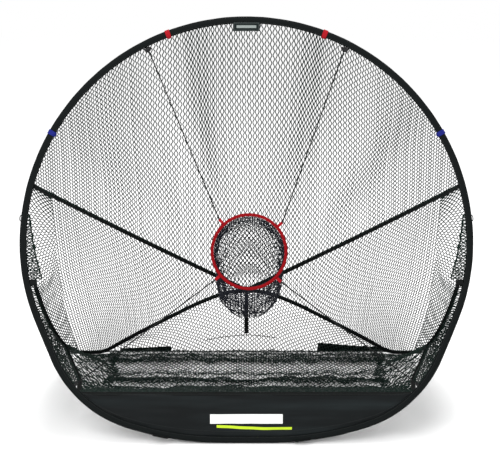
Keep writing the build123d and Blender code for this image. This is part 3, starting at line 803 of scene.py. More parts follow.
hubPatch = dict(radius=0.0091, thickness=0.002)
hubFront = hub + (onHoop(0, waistS) - hub).normalized() * (hubPatch["radius"] + hubPatch["thickness"])
apex = toHoop(hubFront)


def coneShare(u, s):
    # 0 at the hub and 1 at the rim, along the ray from the hub through the point
    du, ds = u, s - apex.y
    a = du * du + ds * ds
    if a < 1e-12:
        return 0.0
    b = ds * (apex.y - waistS)
    c = (apex.y - waistS) ** 2 - rimR**2
    return 1 / ((-b + math.sqrt(b * b - a * c)) / a)


def softDepth(u, s, t):
    # slack cloth between the hub and the rim: a low sag, gathers by the hub and folds from the rim
    angle = math.atan2(u, s - apex.y)
    edge = max(0.0, t * (1 - t) * 4)
    fold = math.sin(angle * net["folds"] + 2.2 * noise.noise(Vector((u * 3, s * 3, 1.7)))) * net["ripple"]
    return -net["sag"] * edge + fold * edge + net["uneven"] * edge * noise.noise(Vector((u * 7, s * 7, 0.3)))


def conePoint(u, s):
    t = limited(coneShare(u, s))
    return onHoop(u, s, apex.z * (1 - t) + rimBack * t + softDepth(u, s, t))


# one lattice in the hoop's plane for the back net and the side nets: upright columns in the
# middle, and rows that gather towards the sides of the hoop
lattice = dict(
    column=0.00775, row=0.0118, gather=0.52, gatherFrom=0.1, gatherTo=0.68, level=0.95,
    narrow=0.04, bunch=0.011, bunches=17, drift=0.012, joint=0.18, edge=0.662, up=46, down=135, across=104,
)


def eased(x, low, high):
    t = limited((x - low) / (high - low))
    return t * t * (3 - 2 * t)


def latticePlace(i, k):
    u = i * lattice["column"]
    u *= 1 - lattice["narrow"] * eased(abs(u), 0.15, 0.75)
    gathered = 1 - lattice["gather"] * eased(abs(u), lattice["gatherFrom"], lattice["gatherTo"])
    s = lattice["level"] + k * lattice["row"] * gathered
    drift = noise.noise(Vector((u * 2.6, s * 2.6, 4.0))) * lattice["drift"]
    # long folds that fan out from the hub bring the columns together in places
    fan = math.atan2(u, max(s - apex.y, 0.05) + 0.25)
    bunch = math.sin(fan * lattice["bunches"] + 2.5 * noise.noise(Vector((fan * 3, 0.5, s))))
    u += lattice["bunch"] * bunch * eased(s, 0.65, 1.15) * eased(0.72 - abs(u), 0.0, 0.3)
    return u * (1 + 0.035 * (s - lattice["level"])) + drift * 0.6, s + drift


def throughLattice(surface):
    # strands of the lattice, thrown back onto a surface and cut off at its edges
    lean = 0.5 - net["string"] / lattice["column"]
    lines = []
    for j in range(-lattice["across"], lattice["across"] + 1):
        line, last = [], None
        for k in range(-lattice["down"], lattice["up"] + 1):
            side = 1 if (j + k) % 2 == 0 else -1
            for offset in (-lattice["joint"], lattice["joint"]):
                place = latticePlace(j + side * lean, k + offset)
                point = surface(*place)
                if (point is None) != (not line) and last is not None:
                    inside, outside = (place, last) if point is not None else (last, place)
                    line.append(edgeOf(surface, inside, outside))
                    if point is None:
                        lines.append(line)
                        line = []
                if point is not None:
                    line.append(point)
                last = place
        if line:
            lines.append(line)
    return lines


def edgeOf(surface, inside, outside):
    # where a strand meets the surface's edge, by halving
    best = surface(*inside)
    for _ in range(5):
        middle = ((inside[0] + outside[0]) / 2, (inside[1] + outside[1]) / 2)
        point = surface(*middle)
        if point is None:
            outside = middle
        else:
            inside, best = middle, point
    return best


# the straps along the bow's axis, from the hoop to the hub
strap = dict(turn=74.8, nextTurn=65.45, half=0.0065, width=0.015, thickness=0.002, curl=0.0008)
strapTopU, strapTopS = rimR * turned(strap["turn"])[1], waistS + rimR * turned(strap["turn"])[0]


def strapLine(u):
    return apex.y + abs(u) * (strapTopS - apex.y) / strapTopU


def backSurface(u, s):
    if s < strapLine(u) or abs(u) > strapTopU or math.hypot(u, s - waistS) > rimR and s > waistS:
        return None
    return conePoint(u, s)


pieces = {}
pieces["backNet"] = stringPiece("backNet", throughLattice(backSurface), net["string"], finishes["netString"])
print("back net", len(pieces["backNet"].data.polygons))


def across(edgeA, edgeB, length, columnStep, rowStep, bulge=0.0, phase=0.0, slack=0.0):
    # netting between two edges, each a function of a share from 0 to 1
    strands = max(2, round(length / columnStep))
    lines = []

    def at(i, k):
        share = limited(i / strands)
        a, b = edgeA(share), edgeB(share)
        span = (b - a).length
        d = min(max(k * rowStep, 0.0), span)
        t = d / span if span else 0
        p = between(a, b, t)
        normal = (b - a).cross(edgeB(min(share + 0.01, 1)) - edgeB(max(share - 0.01, 0)))
        if normal.length > 1e-9:
            normal.normalize()
            soft = 4 * t * (1 - t)
            wave = noise.noise(p * 6 + Vector((phase, 0, 0)))
            wave += 0.6 * noise.noise(p * 17 + Vector((0, phase, 0)))
            rough = noise.noise(p * 75 + Vector((phase, 0, 0)))
            away = soft * (bulge + wave * net["ripple"] * 1.4) + rough * slack * min(1.0, soft * 3)
            p = p + normal * away
        return p, d >= span

    lean = 0.5 - net["string"] / columnStep
    for j in range(strands + 1):
        line, done = [], False
        for k in range(400):
            side = 1 if (j + k) % 2 == 0 else -1
            for offset in (-net["joint"], net["joint"]):
                if not done:
                    p, done = at(j + side * lean, k + offset)
                    line.append(p)
            if done:
                break
        lines.append(line)
    return lines


def rowsOf(points):
    # a function from 0 to 1 through a few points
    at = pathAt(points)
    return lambda share: at(share * at.total)


def keyed(shares, places):
    # place along a row for each share of the other
    def at(x):
        for (s0, s1), (p0, p1) in zip(zip(shares, shares[1:]), zip(places, places[1:])):
            if x <= s1:
                return p0 + (p1 - p0) * (x - s0) / (s1 - s0)
        return places[-1]

    return at


# ---- netting between the straps, the bow, the hoop and the ground ----
netGap = 0.0068
strapTopPoint = upperHoop(strap["turn"], rimInset, rimBack)
strapAlong = (hubFront - strapTopPoint).normalized()
toRim = strapTopPoint - upperHoop(strap["nextTurn"], rimInset, rimBack)
strapDown = (toRim - strapAlong * toRim.dot(strapAlong)).normalized()


def besideBow(d, other, gap=netGap):
    at = bowAt(d)
    ahead = (bowAt(d + 0.004) - bowAt(d - 0.004)).normalized()
    offset = (other - at) - ahead * (other - at).dot(ahead)
    return at + offset.normalized() * gap


def sideHoop(s, inset, back):
    # on the hoop's side arc, below the waist
    r = hoop["sideR"] - inset
    return onHoop(topR - hoop["sideR"] + math.sqrt(r * r - (waistS - s) ** 2), s, back)


def smoothLine(points, step=0.01):
    # Catmull-Rom through a few points
    out = []
    for i in range(len(points) - 1):
        p0, p1 = points[max(i - 1, 0)], points[i]
        p2, p3 = points[i + 1], points[min(i + 2, len(points) - 1)]
        steps = max(1, round((p2 - p1).length / step))
        for j in range(steps):
            t = j / steps
            out.append(0.5 * (
                2 * p1 + (p2 - p0) * t + (2 * p0 - 5 * p1 + 4 * p2 - p3) * t**2
                + (3 * p1 - p0 - 3 * p2 + p3) * t**3))
    return out + [points[-1]]


strapRun = (hubFront - strapTopPoint).length
sideBow = (0.048, 0.2, 0.37, 0.54, 0.69, 0.8, 0.87, 0.93, 0.985, 1.06, 1.2, 1.34, 1.48, 1.62)
sideShares = (0.0, 0.08, 0.17, 0.26, 0.35, 0.42, 0.47, 0.51, 0.54, 0.59, 0.69, 0.79, 0.89, 0.98)
bowPlace = keyed(sideShares, sideBow)


def onStrap(share):
    return strapTopPoint + strapDown * strap["half"] + strapAlong * (strapRun * share)


sideSlack = dict(steps=120, across=40, back=0.014, wave=0.012)


def sideGrid():
    # the ruled sheet between the strap and the bow, slightly slack
    grid = []
    for i in range(sideSlack["steps"] + 1):
        share = sideShares[-1] * i / sideSlack["steps"]
        a = onStrap(share)
        b = besideBow(bowPlace(share), a)
        row = []
        for j in range(sideSlack["across"] + 1):
            t = j / sideSlack["across"]
            p = between(a, b, t)
            soft = 4 * t * (1 - t) * min(1.0, i / 12)
            wave = noise.noise(p * 5 + Vector((3, 0, 0))) + 0.35 * noise.noise(p * 15 + Vector((0, 8, 0)))
            row.append(p + planeBack * (soft * (sideSlack["back"] + sideSlack["wave"] * wave)))
        grid.append(row)
    return grid


def gridTree(grid):
    high = len(grid[0])
    faces = []
    for i in range(len(grid) - 1):
        for j in range(high - 1):
            a = i * high + j
            faces.append((a, a + 1, a + high + 1, a + high))
    return BVHTree.FromPolygons([p for row in grid for p in row], faces)


sideSheet = sideGrid()
sideTree = gridTree(sideSheet)


def sideSurface(u, s):
    if u < 0 or u > lattice["edge"] or s > strapLine(u):
        return None
    return sideTree.ray_cast(onHoop(u, s, -0.5), planeBack)[0]


def outerEdge():
    # where the lattice stops, from the strap down to the bow
    out = []
    for i in range(140):
        s = strapLine(lattice["edge"]) - 0.0055 * i
        point = sideSurface(lattice["edge"] - 1e-5, s)
        if point is not None:
            out.append(point)
    return out


def sideNet():
    lines = throughLattice(sideSurface)
    # the steep strip by the hoop and the bow's side
    inner = outerEdge()
    bowSide = [row[-1] for row in sideSheet if row[-1].x > inner[-1].x]
    hoopSide = [
        strapTopPoint, upperHoop(net["sideTurn"], rimInset, rimBack), sideHoop(0.62, rimInset, rimBack),
        sideHoop(bow["pivotS"] + 0.045, rimInset, rimBack),
    ]
    outside = smoothLine(hoopSide) + bowSide
    innerAt, outsideAt = rowsOf(inner), rowsOf(outside)
    lines += across(
        lambda share: innerAt(share**1.3), lambda share: outsideAt(share**1.3), 0.75, net["foldColumn"],
        net["foldRow"], phase=8.0)
    return lines + bunchedStrip()


def bunchedStrip():
    # slack netting bunched inside the hoop above the pivot, with a fold for its free edge
    strip = net["strip"]
    rim, loose = [], []
    for i in range(25):
        t = i / 24
        s = strip["top"] + (bow["pivotS"] + 0.012 - strip["top"]) * t
        rim.append(sideHoop(s, rimInset - 0.003, 0.004))
        loose.append(sideHoop(s, rimInset + 0.004 + strip["width"] * t**0.7, 0.006 + strip["back"] * t))
    lines = across(
        rowsOf(rim), rowsOf(loose), 0.24, strip["column"], strip["row"], bulge=0.006, phase=2.0, slack=0.009)
    for strand in range(strip["strands"]):
        line = []
        for i, p in enumerate(resample(loose, 0.006)):
            shake = Vector((i * 0.35, strand * 3.7, 1.0))
            wander = Vector((noise.noise(shake), noise.noise(shake + Vector((9, 0, 0))), 0)) * strip["loose"]
            line.append(p + wander)
        lines.append(line)
    return lines


def offsetHoop(inset, low, high):
    # the hoop's inner edge, right half, between two heights up its plane
    out = []
    for a, b in zip(halfLine, halfLine[1:]):
        if not low <= a[1] <= high:
            continue
        dx, dy = b[0] - a[0], b[1] - a[1]
        size = math.hypot(dx, dy)
        out.append((a[0] - dy / size * inset, a[1] + dx / size * inset))
    return out


apron = dict(
    height=0.172, thickness=0.002, wrinkle=0.0036, columns=220, rows=42, flat=(1.118, 0.147),
    bar=(-0.122, 0.122), barRise=(0.064, 0.095), stripe=(-0.1, 0.153), stripeRise=(0.048, 0.057),
)
hem = dict(back=0.885, z=0.002, thickness=0.004)
innerLine = offsetHoop(rimInset, apron["height"] - 0.006, bow["pivotS"] - 0.02)
lowerHoopEdge = [onHoop(u, s, rimBack) for u, s in reversed(innerLine)]
apronCorner = lowerHoopEdge[-1]
tapeMid = behind(0.6, 0.33, 0.1)
groundCorner = behind(0.5, 0.45, 0.001)
tapeBow = besideBow(0.612, groundCorner)
bowCorner = besideBow(0.76, groundCorner)
floorEdge = [behind(x, b, 0.001) for x, b in ((0.626, 0.836), (0.548, 0.846), (0.532, 0.88))]
hemRows = (0.53, 0.48, 0.42, 0.35, 0.275, 0.19, 0.1, 0.025)
rearBow = (0.985, 1.05, 1.12, 1.2, 1.29, 1.39, 1.5, 1.62)


def lowerNet():
    bowSide = [besideBow(d, lowerHoopEdge[len(lowerHoopEdge) // 2]) for d in (0.026, 0.12, 0.2, 0.35, 0.48)]
    inner = smoothLine(bowSide + [tapeBow]) + smoothLine([tapeBow, tapeMid])[1:]
    return across(
        rowsOf(lowerHoopEdge), rowsOf(inner), 0.72, net["lowColumn"], net["lowRow"],
        bulge=-0.02, phase=5.0, slack=0.008)


pleats = [
    (0.45, 0.002), (0.51, 0.006), (0.46, 0.014), (0.52, 0.02), (0.6, 0.007), (0.55, 0.015), (0.475, 0.024),
    (0.545, 0.03), (0.63, 0.01), (0.7, 0.003), (0.77, 0.003), (0.835, 0.006), (0.78, 0.014), (0.715, 0.016),
    (0.79, 0.024), (0.845, 0.008), (0.8, 0.012), (0.86, 0.016), (0.88, 0.002),
]


heap = dict(
    width=1.08, start=0.45, end=0.88, z=0.001, lean=0.42, loose=0.16, slack=0.75, slackSpread=0.45,
    wander=0.03, wave=0.014, rough=0.005, lift=0.004, lowest=0.0018, string=0.95,
)


def floorNet():
    # netting on the ground, longer than the ground it covers, so that it lies in pleats
    profile = pathAt(smoothLine([Vector((0, b, z)) for b, z in pleats], 0.006))
    flat = pathAt([Vector((0, heap[end], heap["z"])) for end in ("start", "end")])
    lines = []
    strands = round(heap["width"] / net["floorColumn"])
    rows = round(profile.total / net["floorRow"])
    for j in range(strands + 1):
        line = []
        for k in range(rows + 1):
            side = 1 if (j + k) % 2 == 0 else -1
            t = k / rows
            lean = heap["lean"] + heap["loose"] * noise.noise(Vector((j * 0.9, k * 0.9, 11.0)))
            lateral = (j + side * lean) / strands * 2 - 1
            at, base = profile(t * profile.total), flat(t * flat.total)
            slack = heap["slack"] + heap["slackSpread"] * noise.noise(Vector((lateral * 4, t * 3, 2.0)))
            back, z = between(base.y, at.y, slack), between(base.z, at.z, slack)
            wave = noise.noise(Vector((lateral * 9, t * 7, 7.0)))
            rough = noise.noise(Vector((lateral * 70, t * 60, 3.0))) * heap["rough"]
            half = between(groundCorner.x + 0.015, floorEdge[2].x + 0.01, t)
            half += heap["wander"] * noise.noise(Vector((t * 11, 0, 9)))
            back += wave * heap["wave"] + rough
            line.append(behind(lateral * half, back, max(heap["lowest"], z + heap["lift"] * wave + rough)))
        lines.append(line)
    return lines


wing = dict(
    count=0.62, start=0.1,
    edge=(
        (0.49, 0.43, 0.004), (0.505, 0.52, 0.004), (0.485, 0.62, 0.004), (0.515, 0.74, 0.004),
        (0.5, 0.86, 0.003),
    ),
)


def slopeNet():
    # down from the apron's top edge, and out to the bow on both sides
    apronBack = onHoop(apronCorner.x, apron["height"], apron["thickness"] / 2)
    lines = across(
        rowsOf([mirrored(apronBack), apronBack]), rowsOf([mirrored(groundCorner), groundCorner]),
        2 * apronBack.x, net["slopeColumn"], net["slopeRow"], bulge=-0.012, phase=1.0, slack=0.007)
    outer = [apronBack, tapeMid, tapeBow, bowCorner, floorEdge[0]]
    inner = [between(apronBack, groundCorner, wing["start"])] + [behind(*place) for place in wing["edge"]]
    side = across(
        rowsOf(smoothLine(outer, 0.03)), rowsOf(inner), wing["count"], net["wingColumn"], net["wingRow"],
        phase=6.0, slack=0.009)
    return lines + side + [[mirrored(p) for p in line] for line in side]


def rearNet():
    foot = [behind(x, hem["back"], hem["z"]) for x in hemRows]
    sewn = [besideBow(d, h, bow["sleeveR"] - 0.001) for d, h in zip(rearBow, foot)]
    top = sewn + [mirrored(p) for p in reversed(sewn)]
    upper, lower = pathAt(smoothLine(top)), pathAt(foot + [mirrored(p) for p in reversed(foot)])
    return across(
        lambda x: upper(x * upper.total), lambda x: lower(x * lower.total),
        lower.total, net["rearColumn"], net["rearRow"], bulge=0.012, phase=4.0)


for name, lines, thin in (
        ("sideNetRight", sideNet(), 1), ("lowerNetRight", lowerNet(), 1),
        ("floorNet", floorNet(), heap["string"]), ("slopeNet", slopeNet(), 1), ("rearNet", rearNet(), 1)):
    pieces[name] = stringPiece(name, lines, net["string"] * thin, finishes["netString"])


def mirrorPiece(source, name):
    mesh = source.data.copy()
    mesh.name = name
    for vertex in mesh.vertices:
        vertex.co.x = -vertex.co.x
    mesh.flip_normals()
    made = bpy.data.objects.new(name, mesh)
    bpy.context.collection.objects.link(made)
    return made


pieces["sideNetLeft"] = mirrorPiece(pieces["sideNetRight"], "sideNetLeft")
pieces["lowerNetLeft"] = mirrorPiece(pieces["lowerNetRight"], "lowerNetLeft")
print("nets made")


# ---- target ring, pocket and elastic cords ----
target = dict(
    x=0.009, s=0.644, r=0.124, sleeveR=0.00625, shown=0.88,
    tabReach=0.024, tabLength=0.0193, tabWidth=0.01, tabLayer=0.00085, tabCloth=0.0013,
    tabs=dict(upperLeft=132.7, upperRight=41.3, lowerLeft=219.7, lowerRight=316.5),
)


def onTarget(turn, r, back=0.0):
    c, s = turned(turn)
    return onHoop(target["x"] + r * c, target["s"] + r * s, back)


# rings of the pocket, each as radius, way back, drop and tilt
pocket = dict(
    rings=(
        (0.1185, 0.0, 0.0, 0.0), (0.118, 0.065, 0.022, 18.0), (0.117, 0.141, 0.094, 46.0),
        (0.105, 0.205, 0.165, 64.0), (0.06, 0.228, 0.218, 70.0),
    ),
    closing=(0.85, 0.65, 0.42, 0.2), steps=12, strands=90, rows=53, string=0.0016, lean=0.38,
    kept=(1.0, 0.62, 0.8, 0.62), slack=0.006, rough=0.0022,
)


def pocketPoint(ring, a, shrink):
    # up in the ring's own plane, tipped back as the pocket bends down
    r, back, drop, tilt = ring
    c, s = turned(tilt)
    x, up = r * shrink * math.cos(a), r * shrink * math.sin(a)
    return onHoop(target["x"] + x, target["s"] - drop + up * c, back + up * s)


def pocketLines():
    rings, stations = pocket["rings"], []
    for a, b in zip(rings, rings[1:]):
        for j in range(pocket["steps"]):
            stations.append(tuple(between(p, q, j / pocket["steps"]) for p, q in zip(a, b)))
    stations.append(rings[-1])
    r, back, drop, tilt = rings[-1]
    stations += [(r * shrink, back + 0.002, drop + 0.004, tilt) for shrink in pocket["closing"]]

    def at(i, k):
        k = min(max(k, 0.0), len(stations) - 1.0)
        low = min(int(k), len(stations) - 2)
        ring = tuple(between(p, q, k - low) for p, q in zip(stations[low], stations[low + 1]))
        a = math.tau * i / pocket["strands"]
        p = pocketPoint(ring, a, 0.992)
        edge = min(1.0, k / 6)
        slack = noise.noise(p * 16 + Vector((4, 0, 0))) * pocket["slack"]
        slack += noise.noise(p * 45) * pocket["rough"]
        return p + (pocketPoint(ring, a, 0.9) - p).normalized() * (abs(slack) * edge * 1.3)

    lines = []
    step = (len(stations) - 1) / pocket["rows"]
    for i in range(pocket["strands"]):
        line = []
        for k in range(pocket["rows"] + 1):
            side = 1 if (i + k) % 2 == 0 else -1
            for offset in (-net["joint"], net["joint"]):
                line.append(at(i + side * pocket["lean"], (k + offset) * step))
        lines.append(line[: round(len(line) * pocket["kept"][i % 4])])
    return lines


pieces["pocketNet"] = stringPiece("pocketNet", pocketLines(), pocket["string"], finishes["pocketString"])


def seamAt(a, turn, width):
    # a low ridge along a sleeve, where its edges are sewn together
    return math.exp(-((math.atan2(math.sin(a - turn), math.cos(a - turn)) / width) ** 2))


def sleeveRadius(base, seed, wrinkle=0.05):
    def radius(length, a):
        fold = noise.noise(Vector((length * 38, math.cos(a) * 1.2 + seed, math.sin(a) * 1.2)))
        wide = noise.noise(Vector((length * 7 + seed, math.cos(a) * 0.6, math.sin(a) * 0.6)))
        return base * (0.975 + wrinkle * fold + 0.02 * wide + 0.05 * seamAt(a, 2.2, 0.16))

    return radius


ringPoints = [onTarget(360 * i / 150, target["r"]) for i in range(150)]
pieces["targetSleeve"] = tube(
    "targetSleeve", ringPoints, sleeveRadius(target["sleeveR"] * target["shown"], 3.1), finishes["redCloth"],
    24, closed=True)


def bandAlong(name, points, acrossOf, width, thickness, material, curl=0.0):
    # a strap along a line, its width along a given direction
    rows, count = [], 7
    for i, p in enumerate(points):
        tangent = (points[min(i + 1, len(points) - 1)] - points[max(i - 1, 0)]).normalized()
        wide = acrossOf(i)
        wide = (wide - tangent * wide.dot(tangent)).normalized()
        normal = tangent.cross(wide)
        row = []
        for k in range(count):
            t = k / (count - 1) * 2 - 1
            row.append(p + wide * (t * width / 2) + normal * (curl * (1 - t * t)))
        rows.append(row)
    return clothGrid(name, [list(line) for line in zip(*rows)], material, thickness)


tabParts = []
for name, turn in target["tabs"].items():
    root = target["r"] + target["sleeveR"] - 0.001
    pts = [onTarget(turn, root + target["tabLength"] * i / 6) for i in range(7)]
    side = onTarget(turn + 90, 1) - onTarget(0, 0)
    for layer in (-1, 1):
        shifted = [p + planeBack * target["tabLayer"] * layer for p in pts]
        tabParts.append(bandAlong(
            name, shifted, lambda i: side, target["tabWidth"], target["tabCloth"], finishes["redWebbing"]))
pieces["targetTabs"] = joined("targetTabs", tabParts)

# elastic cords from the tabs to the locks above and the anchors below
cord = dict(shown=0.002, clip=0.014, fit=0.0002, lock=0.008, anchor=0.011, upper=26.8, lower=33.0)
lockInset = hoop["sleeveR"] + cord["lock"] + cord["fit"]


def cornerHoop(turn):
    # on the hoop's lower corner arc, by the turn from where it leaves the flat arc
    cosBase, sinBase = turned(baseTurn)
    x = hoop["footRun"] / 2 + sinBase * (baseR - hoop["cornerR"])
    y = footS + baseR + cosBase * (hoop["cornerR"] - baseR)
    c, s = turned(baseTurn - 90 + turn)
    return onHoop(x + c * hoop["cornerR"], y + s * hoop["cornerR"])


cordEnds = dict(
    upperLeft=upperHoop(-cord["upper"], lockInset), upperRight=upperHoop(cord["upper"], lockInset),
    lowerLeft=mirrored(cornerHoop(cord["lower"])), lowerRight=cornerHoop(cord["lower"]),
)
cordNodes = dict(
    upperLeft="upper_cord_left", upperRight="upper_cord_right",
    lowerLeft="lower_cord_left", lowerRight="lower_cord_right",
)
cords = {}
for name, turn in target["tabs"].items():
    tip = onTarget(turn, target["r"] + target["tabReach"])
    to = (cordEnds[name] - tip).normalized()
    start = tip + to * (cord["clip"] + cord["fit"])
    if name.startswith("upper"):
        end = cordEnds[name] + to * cord["lock"]
    else:
        end = cordEnds[name] - to * (hoop["sleeveR"] + cord["anchor"] + cord["fit"])
    path = [between(start, end, i / 60) for i in range(61)]
    cords[name] = (tube(name + "Cord", path, cord["shown"], finishes["cord"], 10), path)
print("target made")


# ---- hoop sleeve and what is sewn to it ----
def hoopRadius(length, a):
    fold = noise.noise(Vector((length * 26, math.cos(a) * 1.4, math.sin(a) * 1.4)))
    fine = noise.noise(Vector((length * 80, math.cos(a) * 2, math.sin(a) * 2 + 5)))
    return hoop["sleeveR"] * (0.965 + 0.045 * fold + 0.018 * fine + 0.06 * seamAt(a, 2.4, 0.14))


hoopPoints = resample(wholeHoop, 0.0065, closed=True)
pieces["hoopSleeve"] = tube(
    "hoopSleeve", hoopPoints, hoopRadius, finishes["sleeve"], 32, closed=True, fixedSide=planeBack)


def wrap(name, turn, material, length=0.016, thickness=0.0016):
    # webbing round the sleeve, with its sewn end lying over
    span = math.degrees(length / topR)
    points = [upperHoop(turn + span * (i / 8 - 0.5)) for i in range(9)]

    def radius(d, a):
        over = 0.0007 if math.cos(a - 0.6) > 0.35 else 0.0
        full = 0.0034 * max(0.0, -math.sin(a)) ** 2 * math.sin(math.pi * d / length)
        return hoop["sleeveR"] + thickness * 0.85 + over + full + 0.0002 * math.sin(d * 4000)

    return tube(name, points, radius, material, 40, fixedSide=planeBack)


pieces["redTabs"] = joined("redTabs", [wrap("redTab", t, finishes["redWebbing"]) for t in (-20.5, 20.5)])
pieces["blueTabs"] = joined("blueTabs", [wrap("blueTab", t, finishes["blueWebbing"]) for t in (-60.3, 60.3)])


# label hanging from the sleeve at the top of the hoop
label = dict(
    width=0.09, height=0.03, thickness=0.0016, front=0.0095, border=0.0025, drop=0.039,
    bar=(0.012, 0.078), barRise=(0.0105, 0.0195),
)


def labelCloth():
    shader = Shader("labelCloth", **{"Specular IOR Level": 0.06})
    x, y = shader.axes(shader.coords("UV"))[:2]
    weave = (x * 5200).maths("SINE") * (y * 5200).maths("SINE") * 0.5 + 0.5
    dark = shader.mix(weave, rgb(0.006, 0.009, 0.009), rgb(0.014, 0.02, 0.02))
    edge = label["border"]
    wide, high = label["width"] - edge, label["height"] - edge
    outer = x.within(edge, wide) * y.within(edge, high)
    inner = x.within(edge * 1.5, wide - edge * 0.5) * y.within(edge * 1.5, high - edge * 0.5)
    bar = x.within(*label["bar"]) * y.within(*label["barRise"])
    pale = (outer - inner) * 0.3 + bar
    shader.link(shader.mix(pale, dark, rgb(0.24, 0.27, 0.26)), "Base Color")
    shader.surface.inputs["Roughness"].default_value = 0.75
    shader.bump(weave, 0.3, 0.0003)
    return shader.material


finishes["label"] = labelCloth()


def labelPoint(i, j):
    x = label["width"] * (i / 40 - 0.5)
    s = topS - label["drop"] + label["height"] * j / 14
    curl = 0.0006 * math.sin(i * 0.5) * (1 - j / 14) - 0.0012 * (1 - j / 14) ** 2
    return onHoop(x, s, -(label["front"] + curl))


labelRows = [[labelPoint(i, j) for i in range(41)] for j in range(15)]
pieces["topLabel"] = clothGrid("topLabel", labelRows, finishes["label"], label["thickness"])


loop = dict(turn=83.5, tall=0.0092, wide=0.0032, open=32, string=0.0016)


def sideLoop(name, side):
    # a flat oval of cord whose open end is inside the sleeve
    turn = side * loop["turn"]
    middle = upperHoop(turn, -hoop["sleeveR"])
    inward = (upperHoop(turn) - middle).normalized()
    around = (upperHoop(turn + 1) - upperHoop(turn - 1)).normalized()
    points = []
    for i in range(49):
        c, s = turned(loop["open"] + (360 - 2 * loop["open"]) * i / 48)
        points.append(middle + inward * (loop["wide"] * c) + around * (loop["tall"] * s))
    return tube(name, points, loop["string"], finishes["cord"], 12), points


loops = {}
for side, name in ((-1, "sideLoopLeft"), (1, "sideLoopRight")):
    pieces[name], loops[name] = sideLoop(name, side)


stake = dict(
    corner=0.005, half=0.026, reach=0.019, root=0.0115, width=0.006, thickness=0.0018,
    slope=0.034, dip=0.25, lowest=0.002,
)


def stakeLoop(side, rise):
    # a flat loop of webbing sewn under the sleeve, reaching forward over the ground
    slope = side * math.acos(1 - rise / baseR)
    at = onHoop(side * hoop["footRun"] / 2 + baseR * math.sin(slope), footS + rise)
    along = onHoop(math.cos(slope), math.sin(slope)) - onHoop(0, 0)
    dip = math.asin((at.z - stake["lowest"]) / stake["slope"]) * stake["dip"]
    forward = Vector((0, -math.cos(dip), -math.sin(dip)))
    flat = along.cross(forward).normalized()
    forward = flat.cross(along).normalized()
    corner, half, reach = stake["corner"], stake["half"], stake["reach"]
    local = [(-half, stake["root"])]
    for cx, start in ((-half + corner, 180), (half - corner, 90)):
        for i in range(7):
            c, s = turned(start - 90 * i / 6)
            local.append((cx + corner * c, reach - corner + corner * s))
    local.append((half, stake["root"]))
    points = resample([at + along * x + forward * y for x, y in local], 0.0022)

    def acrossOf(i):
        return flat.cross(points[min(i + 1, len(points) - 1)] - points[max(i - 1, 0)])

    return bandAlong(
        "stakeLoop", points, acrossOf, stake["width"], stake["thickness"], finishes["webbing"])


pieces["stakeLoops"] = joined("stakeLoops", [stakeLoop(-1, 0.0204), stakeLoop(1, 0.0054)])


endPocket = dict(
    inside=0.009, width=0.023, start=-82, sweep=184, radius=0.0103, uneven=0.0003, thickness=0.0018,
)


def bowPocket(name, side):
    # webbing sewn round the bow's end cap and into the sleeve
    rows = []
    for i in range(12):
        x = pivot.x - endPocket["inside"] + endPocket["width"] * i / 11
        row = []
        for j in range(41):
            c, s = turned(endPocket["start"] - endPocket["sweep"] * j / 40)
            r = endPocket["radius"] + endPocket["uneven"] * math.sin(i * 1.3 + j * 0.4)
            row.append(Vector((side * x, pivot.y + r * c, pivot.z + r * s)))
        rows.append(row)
    return clothGrid(name, rows, finishes["webbing"], endPocket["thickness"])


for side, name in ((-1, "bowPocketLeft"), (1, "bowPocketRight")):
    pieces[name] = bowPocket(name, side)


# ---- apron ----
apronEdge = offsetHoop(hoop["sleeveR"] - 0.002, 0.0, apron["height"] + 0.004)


def apronBottom(u):
    u = abs(u)
    for (u0, s0), (u1, s1) in zip(apronEdge, apronEdge[1:]):
        if u0 <= u <= u1:
            return s0 + (s1 - s0) * (u - u0) / (u1 - u0)
    return apronEdge[-1][1] if u > apronEdge[-1][0] else apronEdge[0][1]


def apronPoint(u, v):
    low, high = apronBottom(u), apron["height"]
    s = low + (high - low) * v
    hold = min(1.0, (1 - v) * 7) * min(1.0, v * 7) * min(1.0, (0.55 - abs(u)) * 9 + 0.05)
    ripple = noise.noise(Vector((u * 3.2, s * 26, 0.4))) + 0.5 * noise.noise(Vector((u * 9, s * 60, 2.2)))
    pull = math.sin(u * 60 + 3 * noise.noise(Vector((u * 5, 0, 0)))) * math.exp(-v * 5) * 0.6
    return onHoop(u, s, (ripple + pull) * apron["wrinkle"] * max(hold, 0) - 0.004 * v * (1 - v) * 2)


apronHalf = max(u for u, s in apronEdge if s <= apron["height"] - 0.002)


def apronRow(v):
    count = apron["columns"]
    return [apronPoint(apronHalf * math.sin(math.pi / 2 * (2 * i / count - 1)), v) for i in range(count + 1)]


apronRows = [apronRow(j / apron["rows"]) for j in range(apron["rows"] + 1)]


